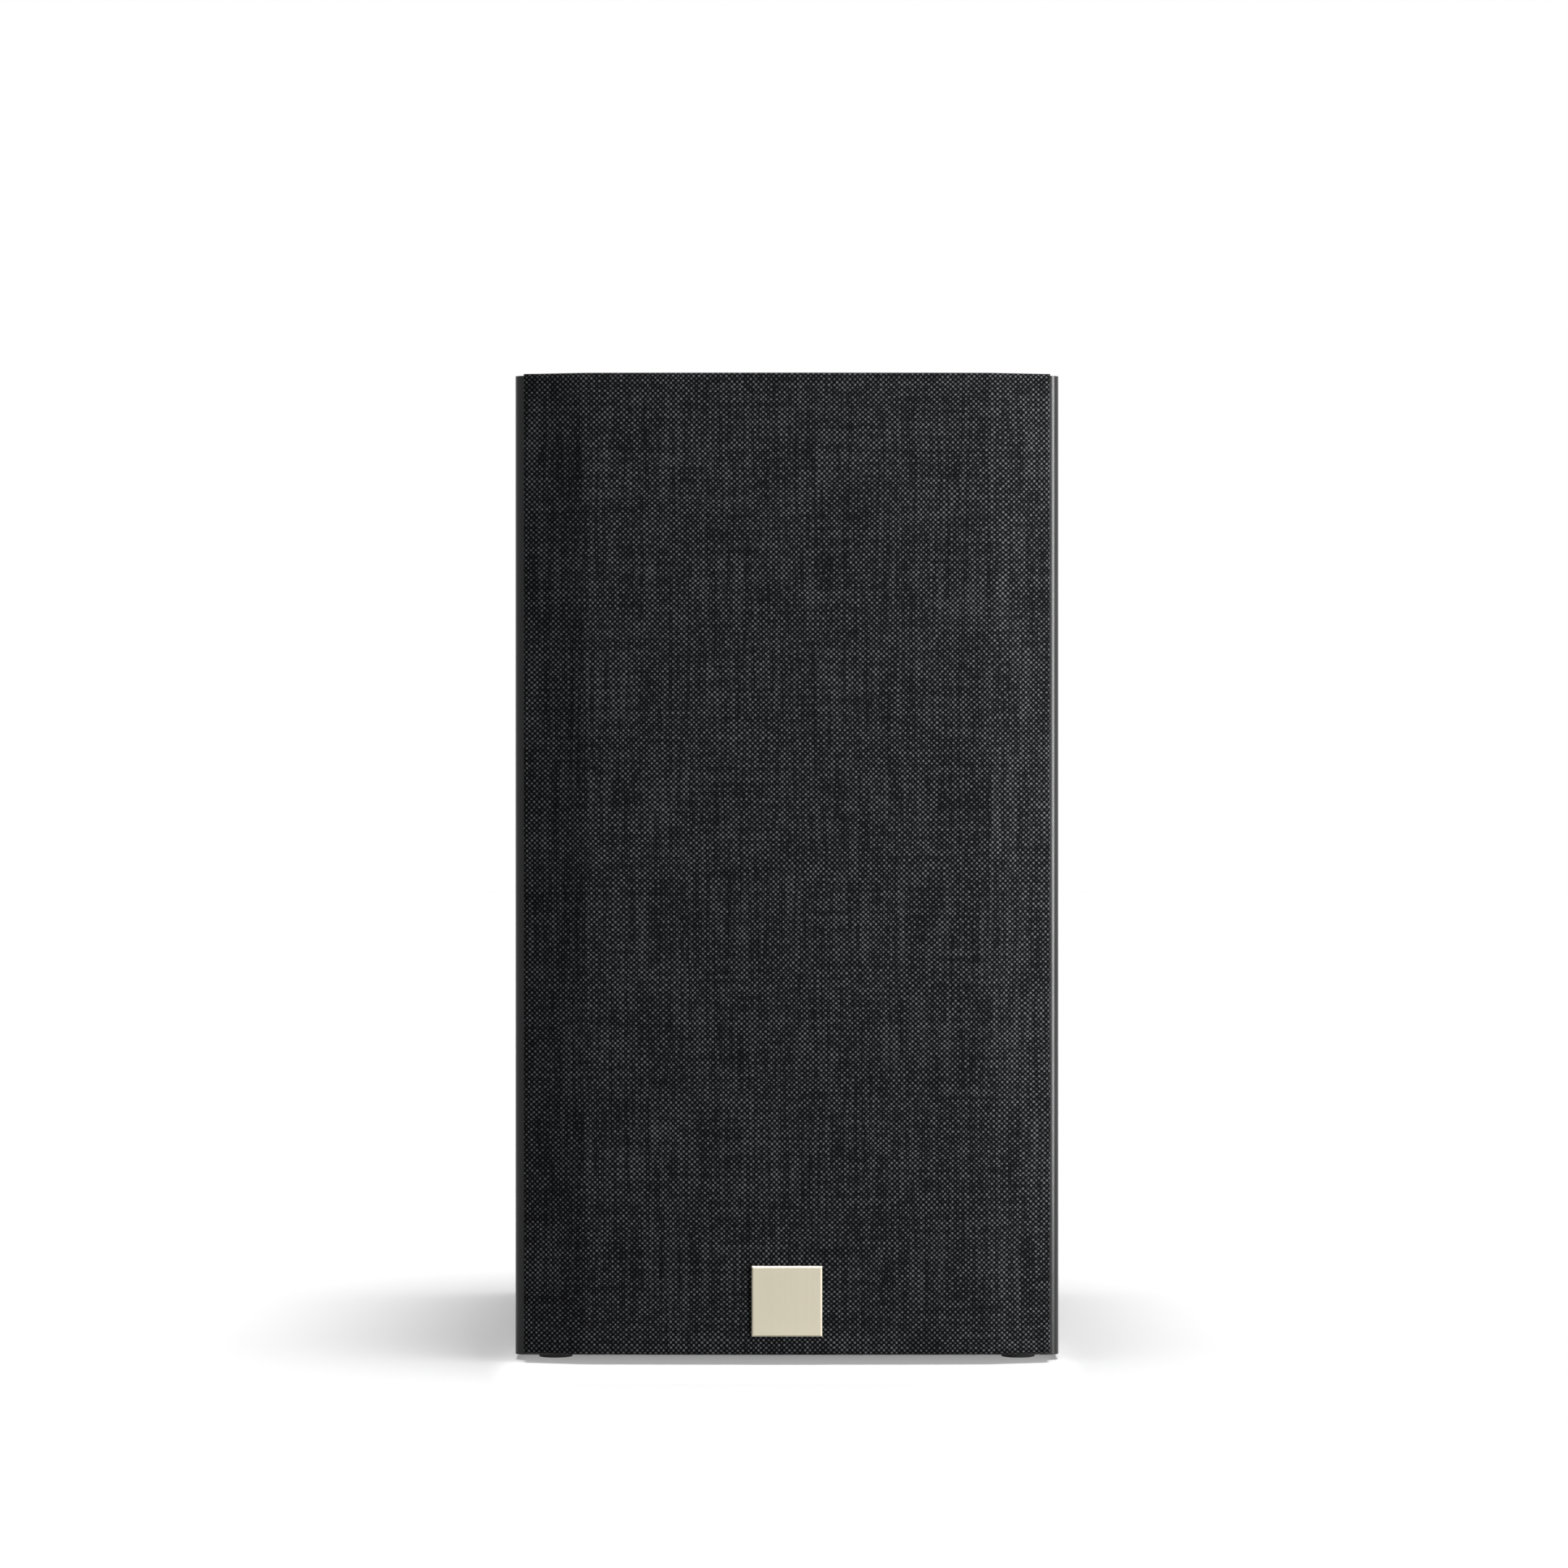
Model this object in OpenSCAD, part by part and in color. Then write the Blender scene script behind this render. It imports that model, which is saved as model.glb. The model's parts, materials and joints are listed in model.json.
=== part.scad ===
// Two-way bookshelf loudspeaker with a rear reflex port and a cloth front grille.
// X runs to the right seen from the front, Y runs to the back and Z runs up, in millimetres.
// The origin is the middle of the footprint, level with the underside of the rubber feet.

/* [Cabinet] */
// Width of the cabinet
cab_w = 195; // [190:1:240]
// Height of the cabinet without its feet
cab_h = 351; // [340:1:430]
// Depth of the cabinet without grille and terminals
cab_d = 255; // [235:1:320]
// Thickness of the side, top, bottom and back boards
wall_t = 15; // [12:0.5:18]
// Thickness of the front baffle
baffle_t = 20; // [18:0.5:24]
// Rounding of the baffle's two upright front edges
edge_r = 3.5; // [1:0.5:6]
// How far the back board sits inside the rear edge
back_inset = 2; // [0:0.5:3]
// Height of the brace bar between the two sides
brace_h = 15; // [8:1:18]
// Depth of the brace bar, front to back
brace_d = 40; // [20:1:50]
// Distance from the baffle's face to the brace bar
brace_y = 95; // [85:1:100]

/* [Feet] */
// Height of the rubber feet
foot_h = 2; // [1:0.5:8]
// Diameter of the rubber feet
foot_d = 12; // [8:1:20]
// Distance of the feet's middles from the cabinet's edges
foot_in = 14; // [12:1:30]

/* [Grille] */
// Strip of cabinet left showing at each side of the grille
grille_reveal = 3.5; // [1:0.5:6]
// Strip of cabinet left showing below the grille
grille_low = 1.5; // [0:0.5:6]
// Depth of the grille in the middle
grille_d = 16; // [13:0.5:22]
// How much the middle stands in front of the creases
grille_crown = 1; // [0.2:0.1:1.5]
// Width of the bevelled wing at each side
wing_w = 22; // [18:1:28]
// How far the wing falls back from crease to outer edge
wing_drop = 6; // [2:0.5:7]
// Thickness of the stretched cloth
cloth_t = 0.7; // [0.5:0.1:1]
// Width of the cloth's hem glued to the back of the rim
hem_w = 5; // [3:0.5:5]
// Wall of the moulded frame's front skin
skin_t = 3; // [2:0.5:4]
// Width of the frame's rim where it faces the baffle
rim_w = 6; // [5.5:0.5:8]
// Rounding of the corners of the two sound windows
window_r = 12; // [4:1:20]
// Air left between the grille's back and the baffle
grille_gap = 0.3; // [0.3:0.1:1]
// Diameter of the grille's pegs
peg_d = 5.8; // [4:0.2:6]
// Length of the pegs behind the grille
peg_len = 10; // [6:0.5:11]
// Distance of the peg sockets from the cabinet's side, top and bottom
socket_in = 13.5; // [13:0.5:16]

/* [Badge] */
// Side of the square badge
badge_w = 25; // [15:1:28]
// Thickness of the badge
badge_t = 1.2; // [0.8:0.1:2]
// Height of the badge's middle above the grille's lower edge
badge_up = 19.2; // [15:0.2:20]

/* [Woofer] */
// Diameter of the woofer's frame
woofer_d = 170; // [160:1:176]
// Height of the woofer frame's lowest point above the cabinet's bottom
woofer_low = 27; // [22:1:30]
// Thickness of the woofer frame's flange
woofer_flange_t = 5; // [4:0.5:6]
// Width of the surround's half roll
roll_w = 11; // [9:0.5:13]
// Depth of the cone from its rim to its neck
cone_depth = 22; // [18:1:24]
// Depth of the basket from the flange's face to its floor
basket_depth = 45; // [44:1:50]
// Diameter of the woofer's ring magnet
woofer_magnet_d = 100; // [80:1:104]
// Thickness of the woofer's ring magnet
woofer_magnet_t = 17; // [12:1:24]
// Inner diameter of the woofer's voice-coil former
woofer_coil_d = 25; // [25:0.5:32]

/* [Tweeter] */
// Diameter of the tweeter's faceplate
tweeter_d = 100; // [94:1:108]
// Gap between the woofer's frame and the tweeter's faceplate
driver_gap = 18; // [16:1:24]
// Thickness of the tweeter's faceplate
tweeter_plate_t = 4; // [3.5:0.5:5]
// Diameter of the soft dome inside its surround
dome_d = 26.8; // [25:0.2:27]
// Height of the dome
dome_rise = 5; // [3:0.5:5.5]
// Thickness of the tweeter's ring magnet
tweeter_magnet_t = 14; // [10:1:20]

/* [Port] */
// Bore of the reflex port
port_d = 50; // [40:1:60]
// Length of the reflex port from its outer face
port_len = 130; // [80:1:130]
// Distance of the port's middle from the cabinet's top
port_down = 71; // [62:1:76]
// Radius of the port's flared mouth
port_flare = 8; // [4:1:10]

/* [Terminals] */
// Height of the terminals above the cabinet's bottom
terminal_z = 75; // [65:1:85]
// Width of the terminal plate
terminal_w = 84; // [76:1:100]
// Height of the terminal plate
terminal_h = 60; // [54:1:64]
// Thickness of the terminal plate
terminal_t = 3; // [2.5:0.5:4]
// Distance between the two binding posts
post_pitch = 19; // [17:0.5:26]
// Bore of the sockets in the binding posts
socket_bore_d = 4; // [4:0.1:4.2]
// Diameter of the knobs
knob_d = 14; // [12:0.5:15]
// Length of the knobs
knob_len = 18; // [16:0.5:22]

/* [Crossover] */
// Width of the crossover board
board_w = 110; // [104:1:124]
// Depth of the crossover board
board_l = 80; // [78:1:84]
// Distance from the baffle's face to the middle of the board
board_y = 150; // [146:1:156]
// Height of the board's stand-offs
standoff_h = 6; // [4:0.5:10]
// Diameter of the hook-up wires
wire_d = 2.2; // [1.6:0.2:2.6]
// Thickness of the damping wadding
wadding_t = 14; // [8:1:20]

/* [Hidden] */

$fn = 96;
fine = 32;                       // sides of small round details
cut = 1;                         // how far cutters reach past a face
fit = 0.1;                       // clearance of a push fit
seat = 0.5;                      // clearance of a part in its rebate

// Colours
board_black = [0.06, 0.06, 0.065];
gloss_black = [0.04, 0.04, 0.045];
moulded_black = [0.09, 0.09, 0.09];
cloth_grey = [0.17, 0.17, 0.175];
rubber_grey = [0.12, 0.12, 0.12];
steel = [0.66, 0.67, 0.68];
gold = [0.83, 0.68, 0.36];
champagne = [0.79, 0.76, 0.68];
copper = [0.72, 0.42, 0.24];
ferrite = [0.2, 0.2, 0.21];
pcb_green = [0.1, 0.34, 0.2];
wool_white = [0.88, 0.87, 0.84];
red = [0.65, 0.06, 0.05];
nylon = [0.9, 0.89, 0.85];
cone_black = [0.11, 0.11, 0.12];
spider_tan = [0.72, 0.58, 0.3];
cap_blue = [0.12, 0.2, 0.42];
resistor_white = [0.85, 0.84, 0.8];
film_amber = [0.75, 0.6, 0.35];

// Woofer measures, from its own face plane with the axis pointing forwards
woofer_r = woofer_d / 2;
woofer_z = woofer_low + woofer_r;
flange_overlap = 12;             // how far the flange reaches over the baffle
screw_inset = 5;                 // from the flange's edge to its screws
woofer_hole_r = woofer_r - flange_overlap;
woofer_screw_at = woofer_r - screw_inset;
woofer_screws_n = 6;
screw_head_r = 3.8;
screw_head_h = 2.2;
screw_shank_r = 1.9;
woofer_screw_len = 18;
gasket_t = 1;
ledge_z = -1.2;
lip_t = 0.8;
lip_w = 3.5;
roll_out_r = woofer_hole_r + 1 - lip_w;
cone_r = roll_out_r - roll_w;
lip_r = roll_out_r + lip_w;
trim_gap = 0.8;                  // from the roll to the trim ring
trim_h = 2;
trim_round = 0.8;
head_gap = 0.4;                  // from the trim ring to the screw heads
basket_wall_r = woofer_hole_r - seat;
basket_wall_t = 2.8;
basket_floor_t = 3;
basket_foot_r = 54;
spider_seat_r = [43, 47];
spider_rise = 11;                // of the spider's seat above the basket's floor
spider_z = -basket_depth + spider_rise;
spider_lap = 0.5;
neck_lip = 0.8;
floor_hole_r = 20;
basket_window_w = 38;
basket_window_in = 4;            // of basket left below and above each window
spider_t = 0.6;
spider_wave = 1.1;
spider_waves = 5;
former_r = [woofer_coil_d / 2, woofer_coil_d / 2 + 0.4];
coil_t = 0.6;
air_gap = 0.5;
cone_t = 1;
rim_flat = 2.5;
neck_z = ledge_z - cone_t - cone_depth;
neck_h = 3;
cap_over = 6;                    // how far the dust cap reaches past the former
cap_r = former_r[1] + cap_over;
cap_rise = 7;
cap_t = 0.7;
plate_t = 6;
coil_mid_z = -basket_depth - plate_t / 2;
coil_h = 14;
former_tail = 3;
former_low_z = coil_mid_z - coil_h / 2 - former_tail;
woofer_magnet_r = woofer_magnet_d / 2;
pole_r = former_r[0] - air_gap;
gap_r = former_r[1] + coil_t + air_gap;
magnet_back_z = -basket_depth - plate_t - woofer_magnet_t;
vent_r = 4;
tag_x = 66;
tag_z = [-38, -26];
tag_half_w = 9;
strip_half_w = 17;
tag_at = 14;
strip_t = 1.5;
tab = [4, 8, 0.8];               // width, length and thickness of a solder tab

// Tweeter measures, in the same way
tweeter_r = tweeter_d / 2;
tweeter_z = woofer_low + woofer_d + driver_gap + tweeter_r;
tweeter_overlap = 11;
tweeter_screw_inset = 6;
tweeter_hole_r = tweeter_r - tweeter_overlap;
tweeter_screw_at = tweeter_r - tweeter_screw_inset;
tweeter_screws_n = 4;
small_head_r = 3.2;
small_head_h = 1.9;
small_shank_r = 1.6;
tweeter_screw_len = 17;
collar_h = 4;
collar_r = [24, tweeter_hole_r - 2];
collar_z = -tweeter_plate_t - collar_h;
tweeter_body_r = collar_r[1] - 1;
dome_r = dome_d / 2;
dome_t = 0.4;
dome_seat_t = 0.6;
tweeter_roll_w = 3.6;
tweeter_roll_skin = 0.2;         // how much thinner the roll is at its crown
dome_seat_r = [dome_r + tweeter_roll_w, dome_r + tweeter_roll_w + 4];
tweeter_coil_t = 0.5;
tweeter_coil_len = 6;
tweeter_coil_z = [collar_z + dome_seat_t - tweeter_coil_len, collar_z + dome_seat_t];
tweeter_top_t = 4;
tweeter_gap_r = dome_r + air_gap;
tweeter_pole_r = dome_r - tweeter_coil_t - dome_t - air_gap;
tweeter_magnet_z = collar_z - tweeter_top_t - tweeter_magnet_t;
tweeter_back_t = 5;
tweeter_end_z = tweeter_magnet_z - tweeter_back_t;
guide_r = [dome_seat_r[0] + 0.8, 36];
tweeter_tag_x = 8;
tweeter_strip = [28, 12, 1.5];

// Grille measures; depths are counted forwards from the baffle's face
grille_w = cab_w - 2 * grille_reveal;
grille_h = cab_h - grille_low;
crease_x = grille_w / 2 - wing_w;
crease_d = grille_d - grille_crown;
wing_slope = wing_drop / wing_w;
wing_stretch = sqrt(1 + wing_slope * wing_slope);
crown_steps = 12;
window_x = roll_out_r - 2;
window_low = woofer_z - lip_r;
window_mid_low = woofer_z + woofer_r + 1;
window_mid_high = tweeter_z - tweeter_r - 1;
window_top_in = 7;               // of window above the tweeter's faceplate
window_top = tweeter_z + tweeter_r + window_top_in;
lip_back = 8.5;
boss_r = 5;
socket_x = cab_w / 2 - socket_in;
socket_zs = [socket_in, cab_h - socket_in];
socket_r = 5;
socket_flange_r = 6.2;
socket_flange_t = 1;
socket_len = 14;
socket_hole_len = 12;
badge_bevel = 0.5;

// Port and terminal measures, counted backwards from the back board's face
back_face = cab_d - back_inset;
port_z = cab_h - port_down;
port_wall = 2;
port_flange_w = 6;
port_flange_t = 3;
port_r = port_d / 2;
port_flange_r = port_r + port_flare + port_flange_w;
port_steps = 8;
// Outer side of the port's flare, from the tube up to the back of its flange, drawn in by gap
function port_shoulder(gap) = let (
    r = port_flare - port_wall - gap,
    top = asin((port_flare - port_flange_t) / r)
) [for (k = [0:port_steps]) [
    port_r + port_flare - r * cos(top * k / port_steps),
    r * sin(top * k / port_steps) - port_flare
]];
terminal_lap = 7;
terminal_corner = 4;
terminal_screw_in = 4;
terminal_screw_len = 14;
post_collar_r = 7;
post_collar_h = 3;
cross_hole_up = 0.4;             // of metal between the collar and the cross hole
stud_r = 3.2;
stud_in = 14;
washer_t = 1.2;
washer_r = 6.4;
washer_clear = 0.35;
knob_hole_r = stud_r + 0.35;
knob_tip = terminal_t + post_collar_h + washer_t + knob_len;
stud_tip = knob_tip - 1;
bore_len = 13;
cross_hole_r = 1.3;
nut_af = 10;
nut_h = 5;
tag_t = 0.8;
knob_ribs = 18;
knob_rib_r = 0.8;
grip_low = 5;                    // smooth neck of the knob below its ribbed grip
grip_end = 1;
tongue = [5, 16];                // width and reach of a solder tag's tongue

// Crossover measures, on the inside of the bottom board
board_t = 1.6;
board_z = wall_t + standoff_h;
board_top = board_z + board_t;
board_front = board_y - board_l / 2;
standoff_in = 6;
standoff_r = 3.5;
snap_r = 1.6;
snap_len = 7;                    // how deep a stand-off is pressed into the bottom board
snap_head_h = 3;
snap_head_r = [2.5, 1];          // radius of the snap head below and above
coil_a = [-28, -16, 20, 22];     // x, y from the board's middle, flange radius, height
coil_b = [32, 22, 14, 16];
bobbin_wall = 1.5;
core_r = 6;
cap_a = [28, -24, 8, 30];        // x, y from the board's middle, radius, length
cap_b = [-28, 24, 6.5, 26];
wool_ends = [12, 4];             // air left before and behind the wool
wool_up = 10;                    // of the wool's lower edge above the brace's gap
lead_r = 0.5;
lead_out = 3;
resistor_size = [40, 9, 9];
resistor_at = [28, -4];

// Routes of the wires inside the cabinet, in the cabinet's own measures: each end keeps to its tag or board
solder_gap = 0.2;
pad_z = board_top + solder_gap;
tag_mid_y = -(tag_z[0] + tag_z[1]) / 2;
tag_face_x = tag_x + strip_t + tab[2];
tweeter_tag_y = tweeter_strip[2] + tab[2] - tweeter_end_z;
input_route = [
    [post_pitch / 2, back_face - 1, terminal_z - 13],
    [post_pitch / 2, back_face - 9, terminal_z - 14],
    [post_pitch / 2 + 0.5, back_face - 19, terminal_z - 18],
    [14, back_face - 31, terminal_z - 31],
    [11, 200, pad_z + 11.2],
    [8, 181, pad_z + 6.2],
    [8, 179, pad_z]
];
input_routes = [for (side = [-1, 1]) [for (point = input_route) [side * point[0], point[1], point[2]]]];
woofer_routes = [
    [[-tag_face_x - 0.7, tag_mid_y, woofer_z + tag_at], [-76, 36, 122], [-77, 52, 104], [-75, 74, 76],
        [-68, 98, 50], [-57, 124, 36], [-51, 135, pad_z + 6.2], [-51, 136, pad_z]],
    [[-tag_face_x - 0.7, tag_mid_y, woofer_z - tag_at], [-75, 37, 94], [-76, 46, 84], [-74, 66, 60],
        [-66, 94, 40], [-55, 117, 32], [-51, 127, pad_z + 5.2], [-51, 128, pad_z]]
];
tweeter_routes = [
    [[tweeter_tag_x, tweeter_tag_y + 0.4, tweeter_z], [9, 44, tweeter_z - 3], [34, 58, 246], [60, 76, 222],
        [66, 84, 190], [66, 90, 130], [62, 100, 70], [57, 118, 38], [51, 127, pad_z + 5.2], [51, 128, pad_z]],
    [[-tweeter_tag_x, tweeter_tag_y + 0.4, tweeter_z], [-8, 47, tweeter_z - 4], [26, 68, 240], [55, 85, 216],
        [61, 89, 188], [60, 96, 128], [57, 106, 72], [53, 126, 40], [51, 135, pad_z + 6.2], [51, 136, pad_z]]
];
tinsel_route = [[-65.4, 14, -32], [-56, 14, -31], [-42, 12, -24], [-27, 8, -27], [-former_r[1] - 1.6, 2, -28]];
tinsel_r = 0.6;

// Where the finished speaker stands
front_y = (grille_d + badge_t - (back_face + knob_tip)) / 2;

function unit(v) = v / norm(v);
function clamp01(t) = max(0, min(1, t));

// A point of the smooth curve through the points p, at u from 0 to the number of spans
function curve_at(p, u) =
    let (i = min(floor(u), len(p) - 2), f = u - i)
    let (a = p[max(i - 1, 0)], b = p[i], c = p[i + 1], d = p[min(i + 2, len(p) - 1)])
    0.5 * ((2 * b) + (c - a) * f + (2 * a - 5 * b + 4 * c - d) * f * f
        + (3 * b - a - 3 * c + d) * f * f * f);
function curve(p, n) = [for (k = [0:n]) curve_at(p, k / n * (len(p) - 1))];
function next_normal(m, t) = unit(m - t * (m * t));

// A round cord of radius r along the smooth curve through the points p
module cord(p, r, rings, sides = 8) {
    q = curve(p, rings);
    t = [for (k = [0:rings]) unit(q[min(k + 1, rings)] - q[max(k - 1, 0)])];
    start = abs(t[0][0]) < 0.8 ? [1, 0, 0] : [0, 1, 0];
    m = [for (k = 0, v = next_normal(start, t[0]); k <= rings;
            k = k + 1, v = next_normal(v, t[min(k, rings)])) v];
    points = [for (k = [0:rings], s = [0:sides - 1])
        q[k] + r * (cos(360 * s / sides) * m[k] + sin(360 * s / sides) * cross(t[k], m[k]))];
    walls = [for (k = [0:rings - 1], s = [0:sides - 1])
        let (a = k * sides + s, b = k * sides + (s + 1) % sides)
        [a, a + sides, b + sides, b]];
    ends = [[for (s = [0:sides - 1]) s], [for (s = [sides - 1:-1:0]) rings * sides + s]];
    polyhedron(points, concat(walls, ends));
}

// Moves the cabinet's own measures to where the speaker stands
module stand() {
    translate([0, front_y, foot_h]) children();
}

// Turns an upright piece to face forwards at height z on the baffle
module on_front(z, x = 0) {
    translate([x, 0, z]) rotate([90, 0, 0]) children();
}

// Turns an upright piece to face backwards at height z on the back board
module on_back(z, x = 0) {
    translate([x, back_face, z]) rotate([-90, 0, 0]) children();
}

module each_socket() {
    for (x = [-socket_x, socket_x], z = socket_zs) on_front(z, x) children();
}

module ring(outer, inner, low, high) {
    difference() {
        translate([0, 0, low]) cylinder(r = outer, h = high - low);
        translate([0, 0, low - cut]) cylinder(r = inner, h = high - low + 2 * cut);
    }
}

module around(n, r, turn = 0) {
    for (k = [0:n - 1]) rotate([0, 0, turn + 360 * k / n]) translate([r, 0, 0]) children();
}

module rounded_sheet(w, h, r) {
    square([w - 2 * r, h], center = true);
    square([w, h - 2 * r], center = true);
    for (x = [-1, 1], y = [-1, 1]) {
        translate([x * (w / 2 - r), y * (h / 2 - r)]) circle(r = r, $fn = 48);
    }
}

// A wood screw with its head's top at z = top and its point below
module wood_screw(top, len, shank, head, head_h) {
    difference() {
        union() {
            translate([0, 0, top - head_h]) cylinder(r = head, h = head_h, $fn = fine);
            translate([0, 0, top - len]) cylinder(r = shank, h = len - head_h / 2, $fn = fine);
            translate([0, 0, top - len - shank]) {
                cylinder(r1 = shank / 4, r2 = shank, h = shank, $fn = fine);
            }
        }
        translate([0, 0, top - head_h * 0.6]) cylinder(r = shank, h = head_h, $fn = 6);
    }
}

module mitred_board(points) {
    translate([0, cab_d, 0]) rotate([90, 0, 0]) linear_extrude(cab_d - baffle_t) polygon(points);
}

module side_board(side) {
    mitred_board([
        [side * cab_w / 2, 0],
        [side * (cab_w / 2 - wall_t), wall_t],
        [side * (cab_w / 2 - wall_t), cab_h - wall_t],
        [side * cab_w / 2, cab_h]
    ]);
}

module level_board(outer_z, inner_z) {
    mitred_board([
        [-cab_w / 2, outer_z],
        [-cab_w / 2 + wall_t, inner_z],
        [cab_w / 2 - wall_t, inner_z],
        [cab_w / 2, outer_z]
    ]);
}

module side_panel_left() {
    color(board_black) stand() side_board(-1);
}

module side_panel_right() {
    color(board_black) stand() side_board(1);
}

module top_panel() {
    color(board_black) stand() level_board(cab_h, cab_h - wall_t);
}

module bottom_panel() {
    color(board_black) stand() difference() {
        level_board(0, wall_t);
        each_standoff() translate([0, 0, -standoff_h - snap_len - cut]) {
            cylinder(r = snap_r + fit, h = snap_len + 2 * cut, $fn = fine);
        }
    }
}

module terminal_opening() {
    translate([0, 0, -wall_t - cut]) linear_extrude(wall_t + 2 * cut) {
        rounded_sheet(terminal_w - 2 * terminal_lap, terminal_h - 2 * terminal_lap, terminal_corner);
    }
}

module each_terminal_screw() {
    for (x = [-1, 1], y = [-1, 1]) {
        translate([x * (terminal_w / 2 - terminal_screw_in), y * (terminal_h / 2 - terminal_screw_in), 0]) {
            children();
        }
    }
}

module back_panel() {
    color(board_black) stand() difference() {
        translate([wall_t - cab_w / 2, back_face - wall_t, wall_t]) {
            cube([cab_w - 2 * wall_t, wall_t, cab_h - 2 * wall_t]);
        }
        on_back(port_z) {
            translate([0, 0, -wall_t - cut]) cylinder(r = port_r + port_wall + seat, h = wall_t + 2 * cut);
            rotate_extrude() polygon(concat([[0, -port_flare]], port_shoulder(seat), [[0, -port_flange_t]]));
            translate([0, 0, -port_flange_t]) cylinder(r = port_flange_r + seat, h = port_flange_t + cut);
        }
        on_back(terminal_z) {
            terminal_opening();
            each_terminal_screw() translate([0, 0, -wall_t]) {
                cylinder(r = small_shank_r + fit, h = wall_t + cut, $fn = fine);
            }
        }
    }
}

module baffle_plan() {
    translate([-cab_w / 2, edge_r]) square([cab_w, baffle_t - edge_r]);
    translate([edge_r - cab_w / 2, 0]) square([cab_w - 2 * edge_r, baffle_t]);
    for (side = [-1, 1]) {
        translate([side * (cab_w / 2 - edge_r), edge_r]) circle(r = edge_r, $fn = 48);
    }
}

module driver_cutout(rim_r, rebate, hole_r, n, screw_at, shank_r, turn) {
    translate([0, 0, -rebate]) cylinder(r = rim_r + seat, h = rebate + cut);
    translate([0, 0, -baffle_t - cut]) cylinder(r = hole_r, h = baffle_t + cut);
    translate([0, 0, -baffle_t - cut]) {
        around(n, screw_at, turn) cylinder(r = shank_r + fit, h = baffle_t + cut, $fn = fine);
    }
}

module front_baffle() {
    color(gloss_black) stand() difference() {
        linear_extrude(cab_h) baffle_plan();
        on_front(woofer_z) driver_cutout(woofer_r, woofer_flange_t + gasket_t, woofer_hole_r,
            woofer_screws_n, woofer_screw_at, screw_shank_r, 30);
        on_front(tweeter_z) driver_cutout(tweeter_r, tweeter_plate_t + gasket_t, tweeter_hole_r,
            tweeter_screws_n, tweeter_screw_at, small_shank_r, 45);
        each_socket() {
            translate([0, 0, -socket_len]) cylinder(r = socket_r + fit, h = socket_len + cut, $fn = 48);
            translate([0, 0, -socket_flange_t]) {
                cylinder(r = socket_flange_r + fit, h = socket_flange_t + cut, $fn = 48);
            }
        }
    }
}

module cabinet_brace() {
    color(board_black) stand() {
        translate([wall_t - cab_w / 2, brace_y, woofer_z + woofer_r + (driver_gap - brace_h) / 2]) {
            cube([cab_w - 2 * wall_t, brace_d, brace_h]);
        }
    }
}

module rubber_feet() {
    color(rubber_grey) stand() {
        for (x = [foot_in - cab_w / 2, cab_w / 2 - foot_in], y = [foot_in, cab_d - foot_in]) {
            translate([x, y, -foot_h]) cylinder(d = foot_d, h = foot_h, $fn = 48);
        }
    }
}

module grille_sockets() {
    color(moulded_black) stand() each_socket() difference() {
        union() {
            translate([0, 0, -socket_len]) cylinder(r = socket_r, h = socket_len, $fn = 48);
            translate([0, 0, -socket_flange_t]) {
                cylinder(r = socket_flange_r, h = socket_flange_t, $fn = 48);
            }
        }
        translate([0, 0, -socket_hole_len]) {
            cylinder(d = peg_d + 2 * fit, h = socket_hole_len + cut, $fn = fine);
        }
    }
}

module reflex_port() {
    flare = [for (k = [0:port_steps]) [
        port_r + port_flare * (1 - cos(90 * k / port_steps)),
        -port_flare * (1 - sin(90 * k / port_steps))
    ]];
    color(moulded_black) stand() on_back(port_z) rotate_extrude() polygon(concat(
        flare,
        [
            [port_flange_r, 0],
            [port_flange_r, -port_flange_t]
        ],
        [for (k = [port_steps:-1:0]) port_shoulder(0)[k]],
        [
            [port_r + port_wall, -port_len],
            [port_r, -port_len]
        ]
    ));
}

module terminal_plate() {
    color(moulded_black) stand() on_back(terminal_z) difference() {
        linear_extrude(terminal_t) rounded_sheet(terminal_w, terminal_h, terminal_corner);
        each_terminal_screw() {
            translate([0, 0, -cut]) cylinder(r = small_shank_r + fit, h = terminal_t + 2 * cut, $fn = fine);
            translate([0, 0, terminal_t - small_head_h]) {
                cylinder(r = small_head_r + fit, h = small_head_h + cut, $fn = fine);
            }
        }
        for (x = [-post_pitch / 2, post_pitch / 2]) {
            translate([x, 0, -cut]) cylinder(r = stud_r + fit, h = terminal_t + 2 * cut, $fn = 48);
        }
    }
}

module terminal_screws() {
    color(steel) stand() on_back(terminal_z) each_terminal_screw() {
        wood_screw(terminal_t, terminal_screw_len, small_shank_r, small_head_r, small_head_h);
    }
}

// A metal post: a collar on the plate and a stud right through it, bored for a plug
module binding_post(x) {
    on_back(terminal_z, x) difference() {
        union() {
            translate([0, 0, terminal_t]) cylinder(r = post_collar_r, h = post_collar_h, $fn = 48);
            translate([0, 0, -stud_in]) cylinder(r = stud_r, h = stud_in + stud_tip, $fn = 48);
        }
        translate([0, 0, stud_tip - bore_len]) {
            cylinder(d = socket_bore_d, h = bore_len + cut, $fn = 48);
        }
        translate([0, 0, terminal_t + post_collar_h + cross_hole_r + cross_hole_up]) rotate([90, 0, 0]) {
            cylinder(r = cross_hole_r, h = 2 * post_collar_r, center = true, $fn = fine);
        }
    }
}

module clamp_washer(x) {
    on_back(terminal_z, x) {
        ring(washer_r, stud_r + washer_clear, terminal_t + post_collar_h + washer_clear,
            terminal_t + post_collar_h + washer_t, $fn = 48);
    }
}

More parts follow.
